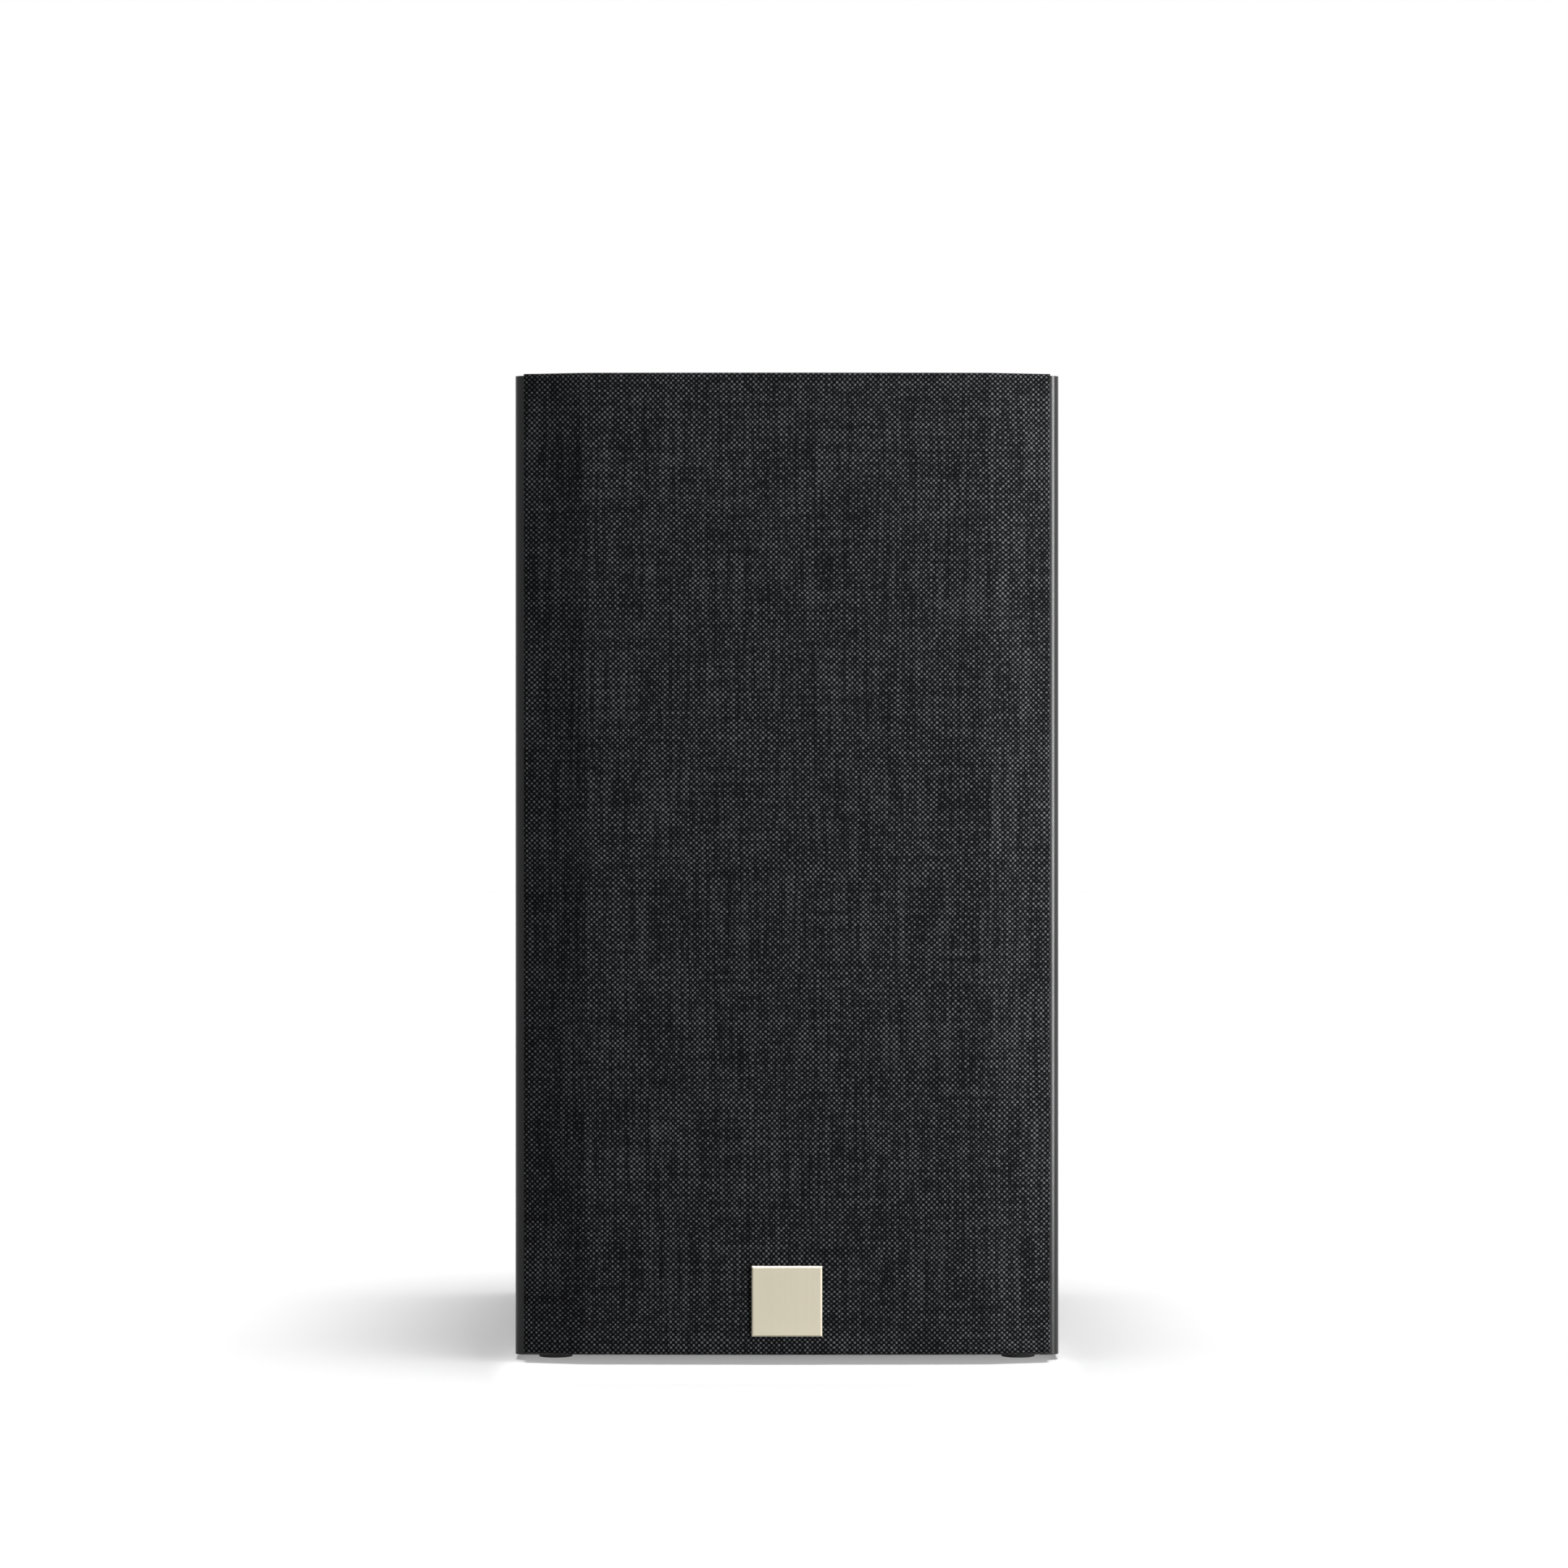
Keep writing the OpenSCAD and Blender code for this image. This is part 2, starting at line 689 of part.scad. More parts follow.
module terminal_knob(x) {
    low = terminal_t + post_collar_h + washer_t;
    on_back(terminal_z, x) difference() {
        union() {
            translate([0, 0, low]) cylinder(d = knob_d - 2, h = knob_len, $fn = 48);
            translate([0, 0, low + grip_low]) cylinder(d = knob_d - 1, h = knob_len - grip_low, $fn = 48);
            around(knob_ribs, knob_d / 2 - knob_rib_r) translate([0, 0, low + grip_low + grip_end]) {
                cylinder(r = knob_rib_r, h = knob_len - grip_low - 2 * grip_end, $fn = 16);
            }
        }
        translate([0, 0, low - cut]) cylinder(r = knob_hole_r, h = knob_len + 2 * cut, $fn = 48);
    }
}

module binding_post_red() {
    color(gold) stand() binding_post(-post_pitch / 2);
}

module binding_post_black() {
    color(gold) stand() binding_post(post_pitch / 2);
}

module clamp_washer_red() {
    color(gold) stand() clamp_washer(-post_pitch / 2);
}

module clamp_washer_black() {
    color(gold) stand() clamp_washer(post_pitch / 2);
}

module terminal_knob_red() {
    color(red) stand() terminal_knob(-post_pitch / 2);
}

module terminal_knob_black() {
    color(moulded_black) stand() terminal_knob(post_pitch / 2);
}

module post_nuts() {
    color(steel) stand() for (x = [-post_pitch / 2, post_pitch / 2]) {
        on_back(terminal_z, x) difference() {
            translate([0, 0, -tag_t - nut_h]) cylinder(r = nut_af / sqrt(3), h = nut_h, $fn = 6);
            translate([0, 0, -tag_t - nut_h - cut]) cylinder(r = stud_r, h = nut_h + 2 * cut, $fn = 48);
        }
    }
}

// Ring lugs under the nuts, with a tongue pointing down for the wire
module solder_tags() {
    color(gold) stand() for (x = [-post_pitch / 2, post_pitch / 2]) {
        on_back(terminal_z, x) translate([0, 0, -tag_t]) linear_extrude(tag_t) difference() {
            union() {
                circle(r = nut_af / 2 + 1, $fn = 48);
                translate([-tongue[0] / 2, 0]) square(tongue);
            }
            circle(r = stud_r, $fn = 48);
        }
    }
}

module each_standoff() {
    for (x = [-1, 1], y = [-1, 1]) {
        translate([x * (board_w / 2 - standoff_in), board_y + y * (board_l / 2 - standoff_in), board_z]) {
            children();
        }
    }
}

module crossover_board() {
    color(pcb_green) stand() difference() {
        translate([-board_w / 2, board_front, board_z]) cube([board_w, board_l, board_t]);
        each_standoff() translate([0, 0, -cut]) {
            cylinder(r = snap_r + fit, h = board_t + 2 * cut, $fn = fine);
        }
    }
}

// Nylon posts pressed into the bottom board, with a head that snaps over the circuit board
module board_standoffs() {
    color(nylon) stand() each_standoff() {
        translate([0, 0, -standoff_h]) cylinder(r = standoff_r, h = standoff_h, $fn = fine);
        translate([0, 0, -standoff_h - snap_len]) {
            cylinder(r = snap_r, h = snap_len + standoff_h + board_t, $fn = fine);
        }
        translate([0, 0, board_t]) {
            cylinder(r1 = snap_head_r[0], r2 = snap_head_r[1], h = snap_head_h, $fn = fine);
        }
    }
}

module on_board(at) {
    translate([at[0], board_y + at[1], board_top]) children();
}

module inductor_bobbins() {
    color(moulded_black) stand() for (coil = [coil_a, coil_b]) on_board(coil) difference() {
        union() {
            cylinder(r = coil[2], h = bobbin_wall);
            translate([0, 0, coil[3] - bobbin_wall]) cylinder(r = coil[2], h = bobbin_wall);
            cylinder(r = core_r + bobbin_wall, h = coil[3]);
        }
        translate([0, 0, -cut]) cylinder(r = core_r, h = coil[3] + 2 * cut);
    }
}

module inductor_windings() {
    color(copper) stand() for (coil = [coil_a, coil_b]) on_board(coil) {
        ring(coil[2] - bobbin_wall, core_r + bobbin_wall, bobbin_wall, coil[3] - bobbin_wall);
    }
}

// A capacitor lying on its side, with its two leads bent down into the board
module axial_capacitor(part) {
    on_board(part) {
        translate([0, 0, part[2]]) rotate([0, 90, 0]) {
            cylinder(r = part[2], h = part[3], center = true, $fn = 48);
        }
        for (side = [-1, 1]) translate([side * (part[3] / 2 + lead_out), 0, 0]) {
            cylinder(r = lead_r, h = part[2] + lead_r, $fn = 16);
            translate([0, 0, part[2]]) rotate([0, -side * 90, 0]) {
                cylinder(r = lead_r, h = lead_out + cut, $fn = 16);
            }
        }
    }
}

module woofer_capacitor() {
    color(cap_blue) stand() axial_capacitor(cap_a);
}

module tweeter_capacitor() {
    color(film_amber) stand() axial_capacitor(cap_b);
}

module resistor() {
    color(resistor_white) stand() on_board(resistor_at) {
        translate([-resistor_size[0] / 2, -resistor_size[1] / 2, 0]) cube(resistor_size);
    }
}

module wires(routes, rings) {
    for (route = routes) cord(route, wire_d / 2, rings);
}

module input_wires() {
    color(red) stand() wires(input_routes, 10);
}

module woofer_wires() {
    color(moulded_black) stand() wires(woofer_routes, 12);
}

module tweeter_wires() {
    color(red) stand() wires(tweeter_routes, 15);
}

// Wool lining the sides and the top of the chamber behind the tweeter
module damping_wadding() {
    wool_y = [baffle_t + wool_ends[0], back_face - wall_t - wool_ends[1]];
    wool_low = woofer_z + woofer_r + driver_gap + wool_up;
    color(wool_white) stand() translate([0, wool_y[1], 0]) rotate([90, 0, 0]) {
        linear_extrude(wool_y[1] - wool_y[0]) difference() {
            translate([wall_t - cab_w / 2, wool_low]) {
                square([cab_w - 2 * wall_t, cab_h - wall_t - wool_low]);
            }
            translate([wall_t + wadding_t - cab_w / 2, wool_low - cut]) {
                square([cab_w - 2 * (wall_t + wadding_t), cab_h - wall_t - wadding_t - wool_low + cut]);
            }
        }
    }
}

// The basket's conical wall, from its foot on the floor to just behind the flange
module basket_wall_line(inside) {
    shift = inside ? -basket_wall_t : 0;
    rotate_extrude() polygon([
        [0, -basket_depth + (inside ? basket_floor_t : 0)],
        [basket_foot_r + shift, -basket_depth + (inside ? basket_floor_t : 0)],
        [basket_wall_r + shift, -woofer_flange_t],
        [basket_wall_r + shift, ledge_z],
        [0, ledge_z]
    ]);
}

module woofer_basket() {
    low = -basket_depth + basket_floor_t + basket_window_in;
    high = -woofer_flange_t - basket_window_in;
    color(steel) stand() on_front(woofer_z) difference() {
        union() {
            translate([0, 0, -woofer_flange_t]) cylinder(r = woofer_r, h = woofer_flange_t);
            basket_wall_line(false);
            translate([-tag_x, -tag_half_w, tag_z[0]]) cube([20, 2 * tag_half_w, tag_z[1] - tag_z[0]]);
        }
        difference() {
            union() {
                basket_wall_line(true);
                translate([0, 0, ledge_z]) cylinder(r = lip_r + fit, h = cut - ledge_z);
            }
            ring(spider_seat_r[1], spider_seat_r[0], -basket_depth, spider_z);
        }
        translate([0, 0, -basket_depth - cut]) cylinder(r = floor_hole_r, h = basket_floor_t + 2 * cut);
        around(woofer_screws_n, spider_seat_r[1] + 1, 30) translate([0, -basket_window_w / 2, low]) {
            cube([woofer_r, basket_window_w, high - low]);
        }
        around(woofer_screws_n, woofer_screw_at, 30) {
            translate([0, 0, -woofer_flange_t - cut]) {
                cylinder(r = screw_shank_r + fit, h = woofer_flange_t + 2 * cut, $fn = fine);
            }
            translate([0, 0, -screw_head_h - fit]) {
                cylinder(r = screw_head_r + fit, h = screw_head_h + cut, $fn = fine);
            }
        }
    }
}

module woofer_trim_ring() {
    outer = woofer_screw_at - screw_head_r - head_gap;
    inner = roll_out_r + trim_gap;
    side_h = trim_h - trim_round;
    color(rubber_grey) stand() on_front(woofer_z) rotate_extrude() polygon([
        [inner, ledge_z + lip_t],
        [lip_r, ledge_z + lip_t],
        [lip_r, 0],
        [outer, 0],
        [outer, side_h],
        [outer - trim_round, trim_h],
        [inner + trim_round, trim_h],
        [inner, side_h]
    ]);
}

module woofer_gasket() {
    color(rubber_grey) stand() on_front(woofer_z) difference() {
        ring(woofer_r, woofer_hole_r + 1, -woofer_flange_t - gasket_t, -woofer_flange_t);
        around(woofer_screws_n, woofer_screw_at, 30) {
            translate([0, 0, -woofer_flange_t - gasket_t - cut]) {
                cylinder(r = screw_shank_r + fit, h = gasket_t + 2 * cut, $fn = fine);
            }
        }
    }
}

module woofer_screws() {
    color(steel) stand() on_front(woofer_z) around(woofer_screws_n, woofer_screw_at, 30) {
        wood_screw(-fit, woofer_screw_len, screw_shank_r, screw_head_r, screw_head_h);
    }
}

// Half roll of rubber between the cone's rim and the basket's ledge
module woofer_surround() {
    roll_r = roll_w / 2;
    mid = roll_out_r - roll_r;
    steps = 16;
    low = ledge_z;
    color(cone_black) stand() on_front(woofer_z) rotate_extrude() polygon(concat(
        [[cone_r - rim_flat, low], [cone_r - rim_flat, low + lip_t]],
        [for (k = [0:steps]) [
            mid - roll_r * cos(180 * k / steps),
            low + lip_t + roll_r * sin(180 * k / steps)
        ]],
        [[lip_r, low + lip_t], [lip_r, low]],
        [for (k = [steps:-1:0]) [
            mid - (roll_r - lip_t) * cos(180 * k / steps),
            low + roll_r * sin(180 * k / steps)
        ]]
    ));
}

// Height of the cone's front face at radius r
function cone_z(r) = let (t = clamp01((r - former_r[1]) / (cone_r - rim_flat - former_r[1])))
    neck_z + cone_depth * pow(t, 0.82) + cone_t;

module woofer_cone() {
    steps = 14;
    rs = [for (k = [0:steps]) former_r[1] + (cone_r - rim_flat - former_r[1]) * k / steps];
    color(cone_black) stand() on_front(woofer_z) rotate_extrude() polygon(concat(
        [for (r = rs) [r, cone_z(r)]],
        [[cone_r - 0.3, ledge_z], [cone_r - 0.3, ledge_z - cone_t]],
        [for (k = [steps:-1:1]) [rs[k], cone_z(rs[k]) - cone_t]],
        [[former_r[1] + neck_lip, neck_z - neck_h], [former_r[1], neck_z - neck_h]]
    ));
}

module woofer_dust_cap() {
    low = cone_z(cap_r);
    steps = 12;
    big = (cap_r * cap_r + cap_rise * cap_rise) / (2 * cap_rise);
    span = asin(cap_r / big);
    color(cone_black) stand() on_front(woofer_z) translate([0, 0, low + cap_rise - big]) {
        rotate_extrude() polygon(concat(
            [for (k = [0:steps]) [big * sin(span * k / steps), big * cos(span * k / steps)]],
            [for (k = [steps:-1:0]) [
                (big - cap_t) * sin(span * k / steps),
                max((big - cap_t) * cos(span * k / steps), big - cap_rise)
            ]]
        ));
    }
}

// Corrugated cloth disc that centres the voice coil
module woofer_spider() {
    waves = [spider_seat_r[0] - 1, former_r[1] + 3];
    steps = 60;
    rs = [for (k = [0:steps]) waves[1] + (waves[0] - waves[1]) * k / steps];
    wave = [for (k = [0:steps]) spider_wave * sin(360 * spider_waves * k / steps)];
    color(spider_tan) stand() on_front(woofer_z) rotate_extrude() polygon(concat(
        [[former_r[1], spider_z], [former_r[1], spider_z + spider_t]],
        [for (k = [0:steps]) [rs[k], spider_z + spider_t + wave[k]]],
        [[spider_seat_r[1] - spider_lap, spider_z + spider_t], [spider_seat_r[1] - spider_lap, spider_z]],
        [for (k = [steps:-1:0]) [rs[k], spider_z + wave[k]]]
    ));
}

module woofer_coil_former() {
    color(film_amber) stand() on_front(woofer_z) ring(former_r[1], former_r[0], former_low_z, neck_z + cone_t);
}

module woofer_voice_coil() {
    color(copper) stand() on_front(woofer_z) {
        ring(former_r[1] + coil_t, former_r[1], coil_mid_z - coil_h / 2, coil_mid_z + coil_h / 2);
    }
}

module woofer_top_plate() {
    color(steel) stand() on_front(woofer_z) {
        ring(woofer_magnet_r - 2, gap_r, -basket_depth - plate_t, -basket_depth);
    }
}

module woofer_magnet() {
    color(ferrite) stand() on_front(woofer_z) {
        ring(woofer_magnet_r, woofer_magnet_r / 2, magnet_back_z, -basket_depth - plate_t);
    }
}

module woofer_pole_plate() {
    color(steel) stand() on_front(woofer_z) difference() {
        union() {
            translate([0, 0, magnet_back_z - plate_t]) cylinder(r = woofer_magnet_r - 3, h = plate_t);
            translate([0, 0, magnet_back_z]) cylinder(r = pole_r, h = -basket_depth - magnet_back_z);
        }
        translate([0, 0, magnet_back_z - plate_t - cut]) {
            cylinder(r = vent_r, h = plate_t - basket_depth - magnet_back_z + 2 * cut);
        }
    }
}

// Insulating strip on the basket's spoke with two solder tags
module woofer_tag_strip() {
    mid = (tag_z[0] + tag_z[1]) / 2;
    color(film_amber) stand() on_front(woofer_z) {
        translate([-tag_x - strip_t, -strip_half_w, tag_z[0]]) {
            cube([strip_t, 2 * strip_half_w, tag_z[1] - tag_z[0]]);
        }
        for (y = [-tag_at, tag_at]) {
            translate([-tag_x - strip_t - tab[2], y - tab[0] / 2, mid - tab[1] / 2]) {
                cube([tab[2] + fit, tab[0], tab[1]]);
            }
        }
    }
}

module woofer_tinsel_leads() {
    color(copper) stand() on_front(woofer_z) for (side = [-1, 1]) {
        cord([for (point = tinsel_route) [point[0], side * point[1], point[2]]], tinsel_r, 12);
    }
}

module tweeter_faceplate() {
    steps = 10;
    span = guide_r[1] - guide_r[0];
    guide = [for (k = [0:steps]) [
        guide_r[0] + span * k / steps,
        -tweeter_plate_t + tweeter_plate_t * sin(90 * k / steps)
    ]];
    color(moulded_black) stand() on_front(tweeter_z) difference() {
        rotate_extrude() polygon(concat(
            guide,
            [
                [tweeter_r, 0],
                [tweeter_r, -tweeter_plate_t],
                [collar_r[1], -tweeter_plate_t],
                [collar_r[1], collar_z],
                [collar_r[0], collar_z],
                [collar_r[0], -tweeter_plate_t - 1.5],
                [guide_r[0], -tweeter_plate_t - 1.5]
            ]
        ));
        around(tweeter_screws_n, tweeter_screw_at, 45) {
            translate([0, 0, -tweeter_plate_t - cut]) {
                cylinder(r = small_shank_r + fit, h = tweeter_plate_t + 2 * cut, $fn = fine);
            }
            translate([0, 0, -small_head_h - fit]) {
                cylinder(r = small_head_r + fit, h = small_head_h + cut, $fn = fine);
            }
        }
    }
}

module tweeter_dome() {
    low = collar_z + dome_seat_t;
    steps = 12;
    big = (dome_r * dome_r + dome_rise * dome_rise) / (2 * dome_rise);
    span = asin(dome_r / big);
    color(cone_black) stand() on_front(tweeter_z) translate([0, 0, low + dome_rise - big]) {
        rotate_extrude() polygon(concat(
            [for (k = [0:steps]) [big * sin(span * k / steps), big * cos(span * k / steps)]],
            [for (k = [steps:-1:0]) [
                (big - dome_t) * sin(span * k / steps),
                max((big - dome_t) * cos(span * k / steps), big - dome_rise)
            ]]
        ));
    }
}

module tweeter_surround() {
    roll_r = tweeter_roll_w / 2;
    mid = dome_r + roll_r;
    steps = 10;
    low = collar_z;
    color(cone_black) stand() on_front(tweeter_z) rotate_extrude() polygon(concat(
        [[dome_r, low + dome_seat_t]],
        [for (k = [1:steps]) [
            mid - roll_r * cos(180 * k / steps),
            low + dome_seat_t + roll_r * sin(180 * k / steps)
        ]],
        [[dome_seat_r[1], low + dome_seat_t], [dome_seat_r[1], low]],
        [for (k = [steps:-1:0]) [
            mid - (roll_r - dome_t) * cos(180 * k / steps),
            low + (k == 0 ? dome_seat_t : 0) + (roll_r - dome_t + tweeter_roll_skin) * sin(180 * k / steps)
        ]]
    ));
}

module tweeter_voice_coil() {
    outer = dome_r - 0.1;
    color(copper) stand() on_front(tweeter_z) {
        ring(outer, outer - tweeter_coil_t, tweeter_coil_z[0], tweeter_coil_z[1]);
    }
}

module tweeter_top_plate() {
    color(steel) stand() on_front(tweeter_z) {
        ring(tweeter_body_r, tweeter_gap_r, collar_z - tweeter_top_t, collar_z);
    }
}

module tweeter_magnet() {
    color(ferrite) stand() on_front(tweeter_z) {
        ring(tweeter_body_r, tweeter_body_r / 2, tweeter_magnet_z, collar_z - tweeter_top_t);
    }
}

module tweeter_pole_plate() {
    color(steel) stand() on_front(tweeter_z) {
        translate([0, 0, tweeter_end_z]) cylinder(r = tweeter_body_r - 2, h = tweeter_back_t);
        translate([0, 0, tweeter_end_z]) {
            cylinder(r = tweeter_pole_r, h = collar_z - 0.6 - tweeter_end_z);
        }
    }
}

module tweeter_gasket() {
    color(rubber_grey) stand() on_front(tweeter_z) difference() {
        ring(tweeter_r, tweeter_hole_r + 1, -tweeter_plate_t - gasket_t, -tweeter_plate_t);
        around(tweeter_screws_n, tweeter_screw_at, 45) {
            translate([0, 0, -tweeter_plate_t - gasket_t - cut]) {
                cylinder(r = small_shank_r + fit, h = gasket_t + 2 * cut, $fn = fine);
            }
        }
    }
}

module tweeter_screws() {
    color(steel) stand() on_front(tweeter_z) around(tweeter_screws_n, tweeter_screw_at, 45) {
        wood_screw(-fit, tweeter_screw_len, small_shank_r, small_head_r, small_head_h);
    }
}

module tweeter_tag_strip() {
    color(film_amber) stand() on_front(tweeter_z) {
        translate([-tweeter_strip[0] / 2, -tweeter_strip[1] / 2, tweeter_end_z - tweeter_strip[2]]) {
            cube(tweeter_strip);
        }
        for (x = [-tweeter_tag_x, tweeter_tag_x]) {
            translate([x - tab[0] / 2, -tab[1] / 2, tweeter_end_z - tweeter_strip[2] - tab[2]]) {
                cube([tab[0], tab[1], tab[2] + fit]);
            }
        }
    }
}

// Depth of the grille's face at x, with a skin of thickness s taken off its front
function face_d(x, s) = abs(x) <= crease_x
    ? crease_d + grille_crown * (1 - pow(x / crease_x, 2)) - s
    : crease_d - wing_slope * (abs(x) - crease_x) - s * wing_stretch;

// Plan of the grille with s taken off its front and e off its sides, ending at back
function grille_plan(s, e, back) = concat(
    [[e - grille_w / 2, -back], [e - grille_w / 2, -face_d(grille_w / 2 - e, s)]],
    [for (k = [-crown_steps:crown_steps])
        let (x = crease_x * k / crown_steps) [x, -face_d(x, s)]],
    [[grille_w / 2 - e, -face_d(grille_w / 2 - e, s)], [grille_w / 2 - e, -back]]
);

module grille_block(s, e, back) {
    translate([0, 0, grille_low + e]) linear_extrude(grille_h - 2 * e) polygon(grille_plan(s, e, back));
}

module window_hole(low, high, margin, depth) {
    translate([0, 0, (low + high) / 2]) rotate([90, 0, 0]) linear_extrude(depth) {
        rounded_sheet(2 * (window_x + margin), high - low + 2 * margin, window_r + margin);
    }
}

module windows(margin, depth) {
    window_hole(window_low, window_mid_low, margin, depth);
    window_hole(window_mid_high, window_top, margin, depth);
}

module grille_frame() {
    back = grille_gap + cloth_t;
    color(moulded_black) stand() {
        difference() {
            grille_block(cloth_t, cloth_t, back);
            difference() {
                grille_block(cloth_t + skin_t, cloth_t + rim_w, -cut);
                translate([0, -lip_back, 0]) windows(skin_t, grille_d);
                each_socket() cylinder(r = boss_r, h = grille_d, $fn = 48);
            }
            windows(0, 2 * grille_d);
        }
        each_socket() translate([0, 0, -peg_len]) cylinder(d = peg_d, h = peg_len + back + cut, $fn = fine);
    }
}

module grille_cloth() {
    inner = cloth_t + hem_w;
    color(cloth_grey) stand() difference() {
        grille_block(0, 0, grille_gap);
        grille_block(cloth_t, cloth_t, grille_gap + cloth_t);
        translate([inner - grille_w / 2, -grille_gap - cloth_t - cut, grille_low + inner]) {
            cube([grille_w - 2 * inner, cloth_t + 2 * cut, grille_h - 2 * inner]);
        }
    }
}

// Blank square plate with bevelled edges, set on the cloth
module grille_badge() {
    color(champagne) stand() on_front(grille_low + badge_up) translate([0, 0, grille_d]) {
        difference() {
            translate([-badge_w / 2, -badge_w / 2, 0]) cube([badge_w, badge_w, badge_t]);
            for (turn = [0:90:270]) rotate([0, 0, turn]) {
                translate([badge_w / 2 - badge_bevel, -badge_w, badge_t]) rotate([0, 45, 0]) {
                    cube([2 * badge_bevel, 2 * badge_w, 2 * badge_bevel]);
                }
            }
        }
    }
}

side_panel_left();
side_panel_right();
top_panel();
bottom_panel();
back_panel();
front_baffle();
cabinet_brace();
rubber_feet();
grille_sockets();
reflex_port();
terminal_plate();
terminal_screws();
binding_post_red();
binding_post_black();
clamp_washer_red();
clamp_washer_black();
terminal_knob_red();
terminal_knob_black();
post_nuts();
solder_tags();
crossover_board();
board_standoffs();
inductor_bobbins();
inductor_windings();
woofer_capacitor();
tweeter_capacitor();
resistor();
input_wires();
woofer_wires();
tweeter_wires();
damping_wadding();
woofer_basket();
woofer_trim_ring();
woofer_gasket();
woofer_screws();
woofer_surround();
woofer_cone();
woofer_dust_cap();
woofer_spider();
woofer_coil_former();
woofer_voice_coil();
woofer_top_plate();
woofer_magnet();
woofer_pole_plate();
woofer_tag_strip();
woofer_tinsel_leads();
tweeter_faceplate();
tweeter_dome();
tweeter_surround();
tweeter_voice_coil();
tweeter_top_plate();
tweeter_magnet();
tweeter_pole_plate();
tweeter_gasket();
tweeter_screws();
tweeter_tag_strip();
grille_frame();
grille_cloth();
grille_badge();
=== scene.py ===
import json
import math

import bpy
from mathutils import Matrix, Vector, noise


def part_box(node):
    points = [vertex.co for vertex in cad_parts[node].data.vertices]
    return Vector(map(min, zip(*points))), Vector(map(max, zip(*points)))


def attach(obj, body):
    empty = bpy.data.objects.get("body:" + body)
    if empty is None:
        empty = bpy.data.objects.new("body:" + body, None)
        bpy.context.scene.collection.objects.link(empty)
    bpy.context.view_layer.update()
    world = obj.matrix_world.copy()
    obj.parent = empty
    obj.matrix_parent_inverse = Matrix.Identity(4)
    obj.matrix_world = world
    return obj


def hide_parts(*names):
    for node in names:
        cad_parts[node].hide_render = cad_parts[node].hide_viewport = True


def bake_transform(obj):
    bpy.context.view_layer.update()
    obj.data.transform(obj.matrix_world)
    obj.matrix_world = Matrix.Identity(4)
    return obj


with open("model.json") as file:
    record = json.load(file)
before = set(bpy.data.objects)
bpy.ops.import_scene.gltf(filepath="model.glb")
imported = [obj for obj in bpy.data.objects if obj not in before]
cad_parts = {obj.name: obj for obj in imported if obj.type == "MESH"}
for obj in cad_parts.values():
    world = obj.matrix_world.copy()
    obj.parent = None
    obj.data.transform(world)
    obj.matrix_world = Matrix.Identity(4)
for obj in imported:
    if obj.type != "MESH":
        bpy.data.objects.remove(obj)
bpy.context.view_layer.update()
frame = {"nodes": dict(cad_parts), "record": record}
scene = bpy.context.scene
nodes = frame["nodes"]


# ---------------------------------------------------------------- materials

class Net:
    """A material's node tree, built with short calls."""

    def __init__(self, name, rough, metal=0.0, **sockets):
        self.mat = bpy.data.materials.new(name)
        self.mat.use_nodes = True
        self.tree = self.mat.node_tree
        self.shader = self.tree.nodes["Principled BSDF"]
        self.shader.inputs["Roughness"].default_value = rough
        self.shader.inputs["Metallic"].default_value = metal
        for key, value in sockets.items():
            self.shader.inputs[key.replace("_", " ")].default_value = value

    def add(self, kind, **values):
        node = self.tree.nodes.new(kind)
        for key, value in values.items():
            setattr(node, key, value)
        return node

    def put(self, socket, value):
        if isinstance(value, bpy.types.NodeSocket):
            self.tree.links.new(value, socket)
        else:
            socket.default_value = value

    def math(self, operation, a, b=0.0, c=0.0):
        node = self.add("ShaderNodeMath", operation=operation)
        for i, value in enumerate((a, b, c)):
            if i < len(node.inputs):
                self.put(node.inputs[i], value)
        return node.outputs[0]

    def place(self, scale=(1, 1, 1), kind="Object"):
        coord = self.add("ShaderNodeTexCoord")
        mapping = self.add("ShaderNodeMapping")
        self.put(mapping.inputs["Vector"], coord.outputs[kind])
        mapping.inputs["Scale"].default_value = scale
        return mapping.outputs[0]

    def noise(self, place, scale, detail=3.0, rough=0.5, twist=0.0):
        node = self.add("ShaderNodeTexNoise")
        self.put(node.inputs["Vector"], place)
        node.inputs["Scale"].default_value = scale
        node.inputs["Detail"].default_value = detail
        node.inputs["Roughness"].default_value = rough
        node.inputs["Distortion"].default_value = twist
        return node.outputs["Fac"]

    def ramp(self, value, stops):
        node = self.add("ShaderNodeValToRGB")
        self.put(node.inputs["Fac"], value)
        points = node.color_ramp.elements
        while len(points) < len(stops):
            points.new(0.5)
        for point, (at, colour) in zip(points, stops):
            point.position = at
            point.color = (*colour, 1)
        return node.outputs["Color"]

    def span(self, value, low, high):
        node = self.add("ShaderNodeMapRange")
        self.put(node.inputs["Value"], value)
        node.inputs["To Min"].default_value = low
        node.inputs["To Max"].default_value = high
        return node.outputs["Result"]

    def colour(self, value):
        self.put(self.shader.inputs["Base Color"], value)

    def rough(self, value):
        self.put(self.shader.inputs["Roughness"], value)

    def bump(self, height, strength, distance):
        node = self.add("ShaderNodeBump")
        node.inputs["Strength"].default_value = strength
        node.inputs["Distance"].default_value = distance
        self.put(node.inputs["Height"], height)
        self.put(self.shader.inputs["Normal"], node.outputs["Normal"])


def shade(colour, factor):
    return tuple(min(1.0, c * factor) for c in colour)


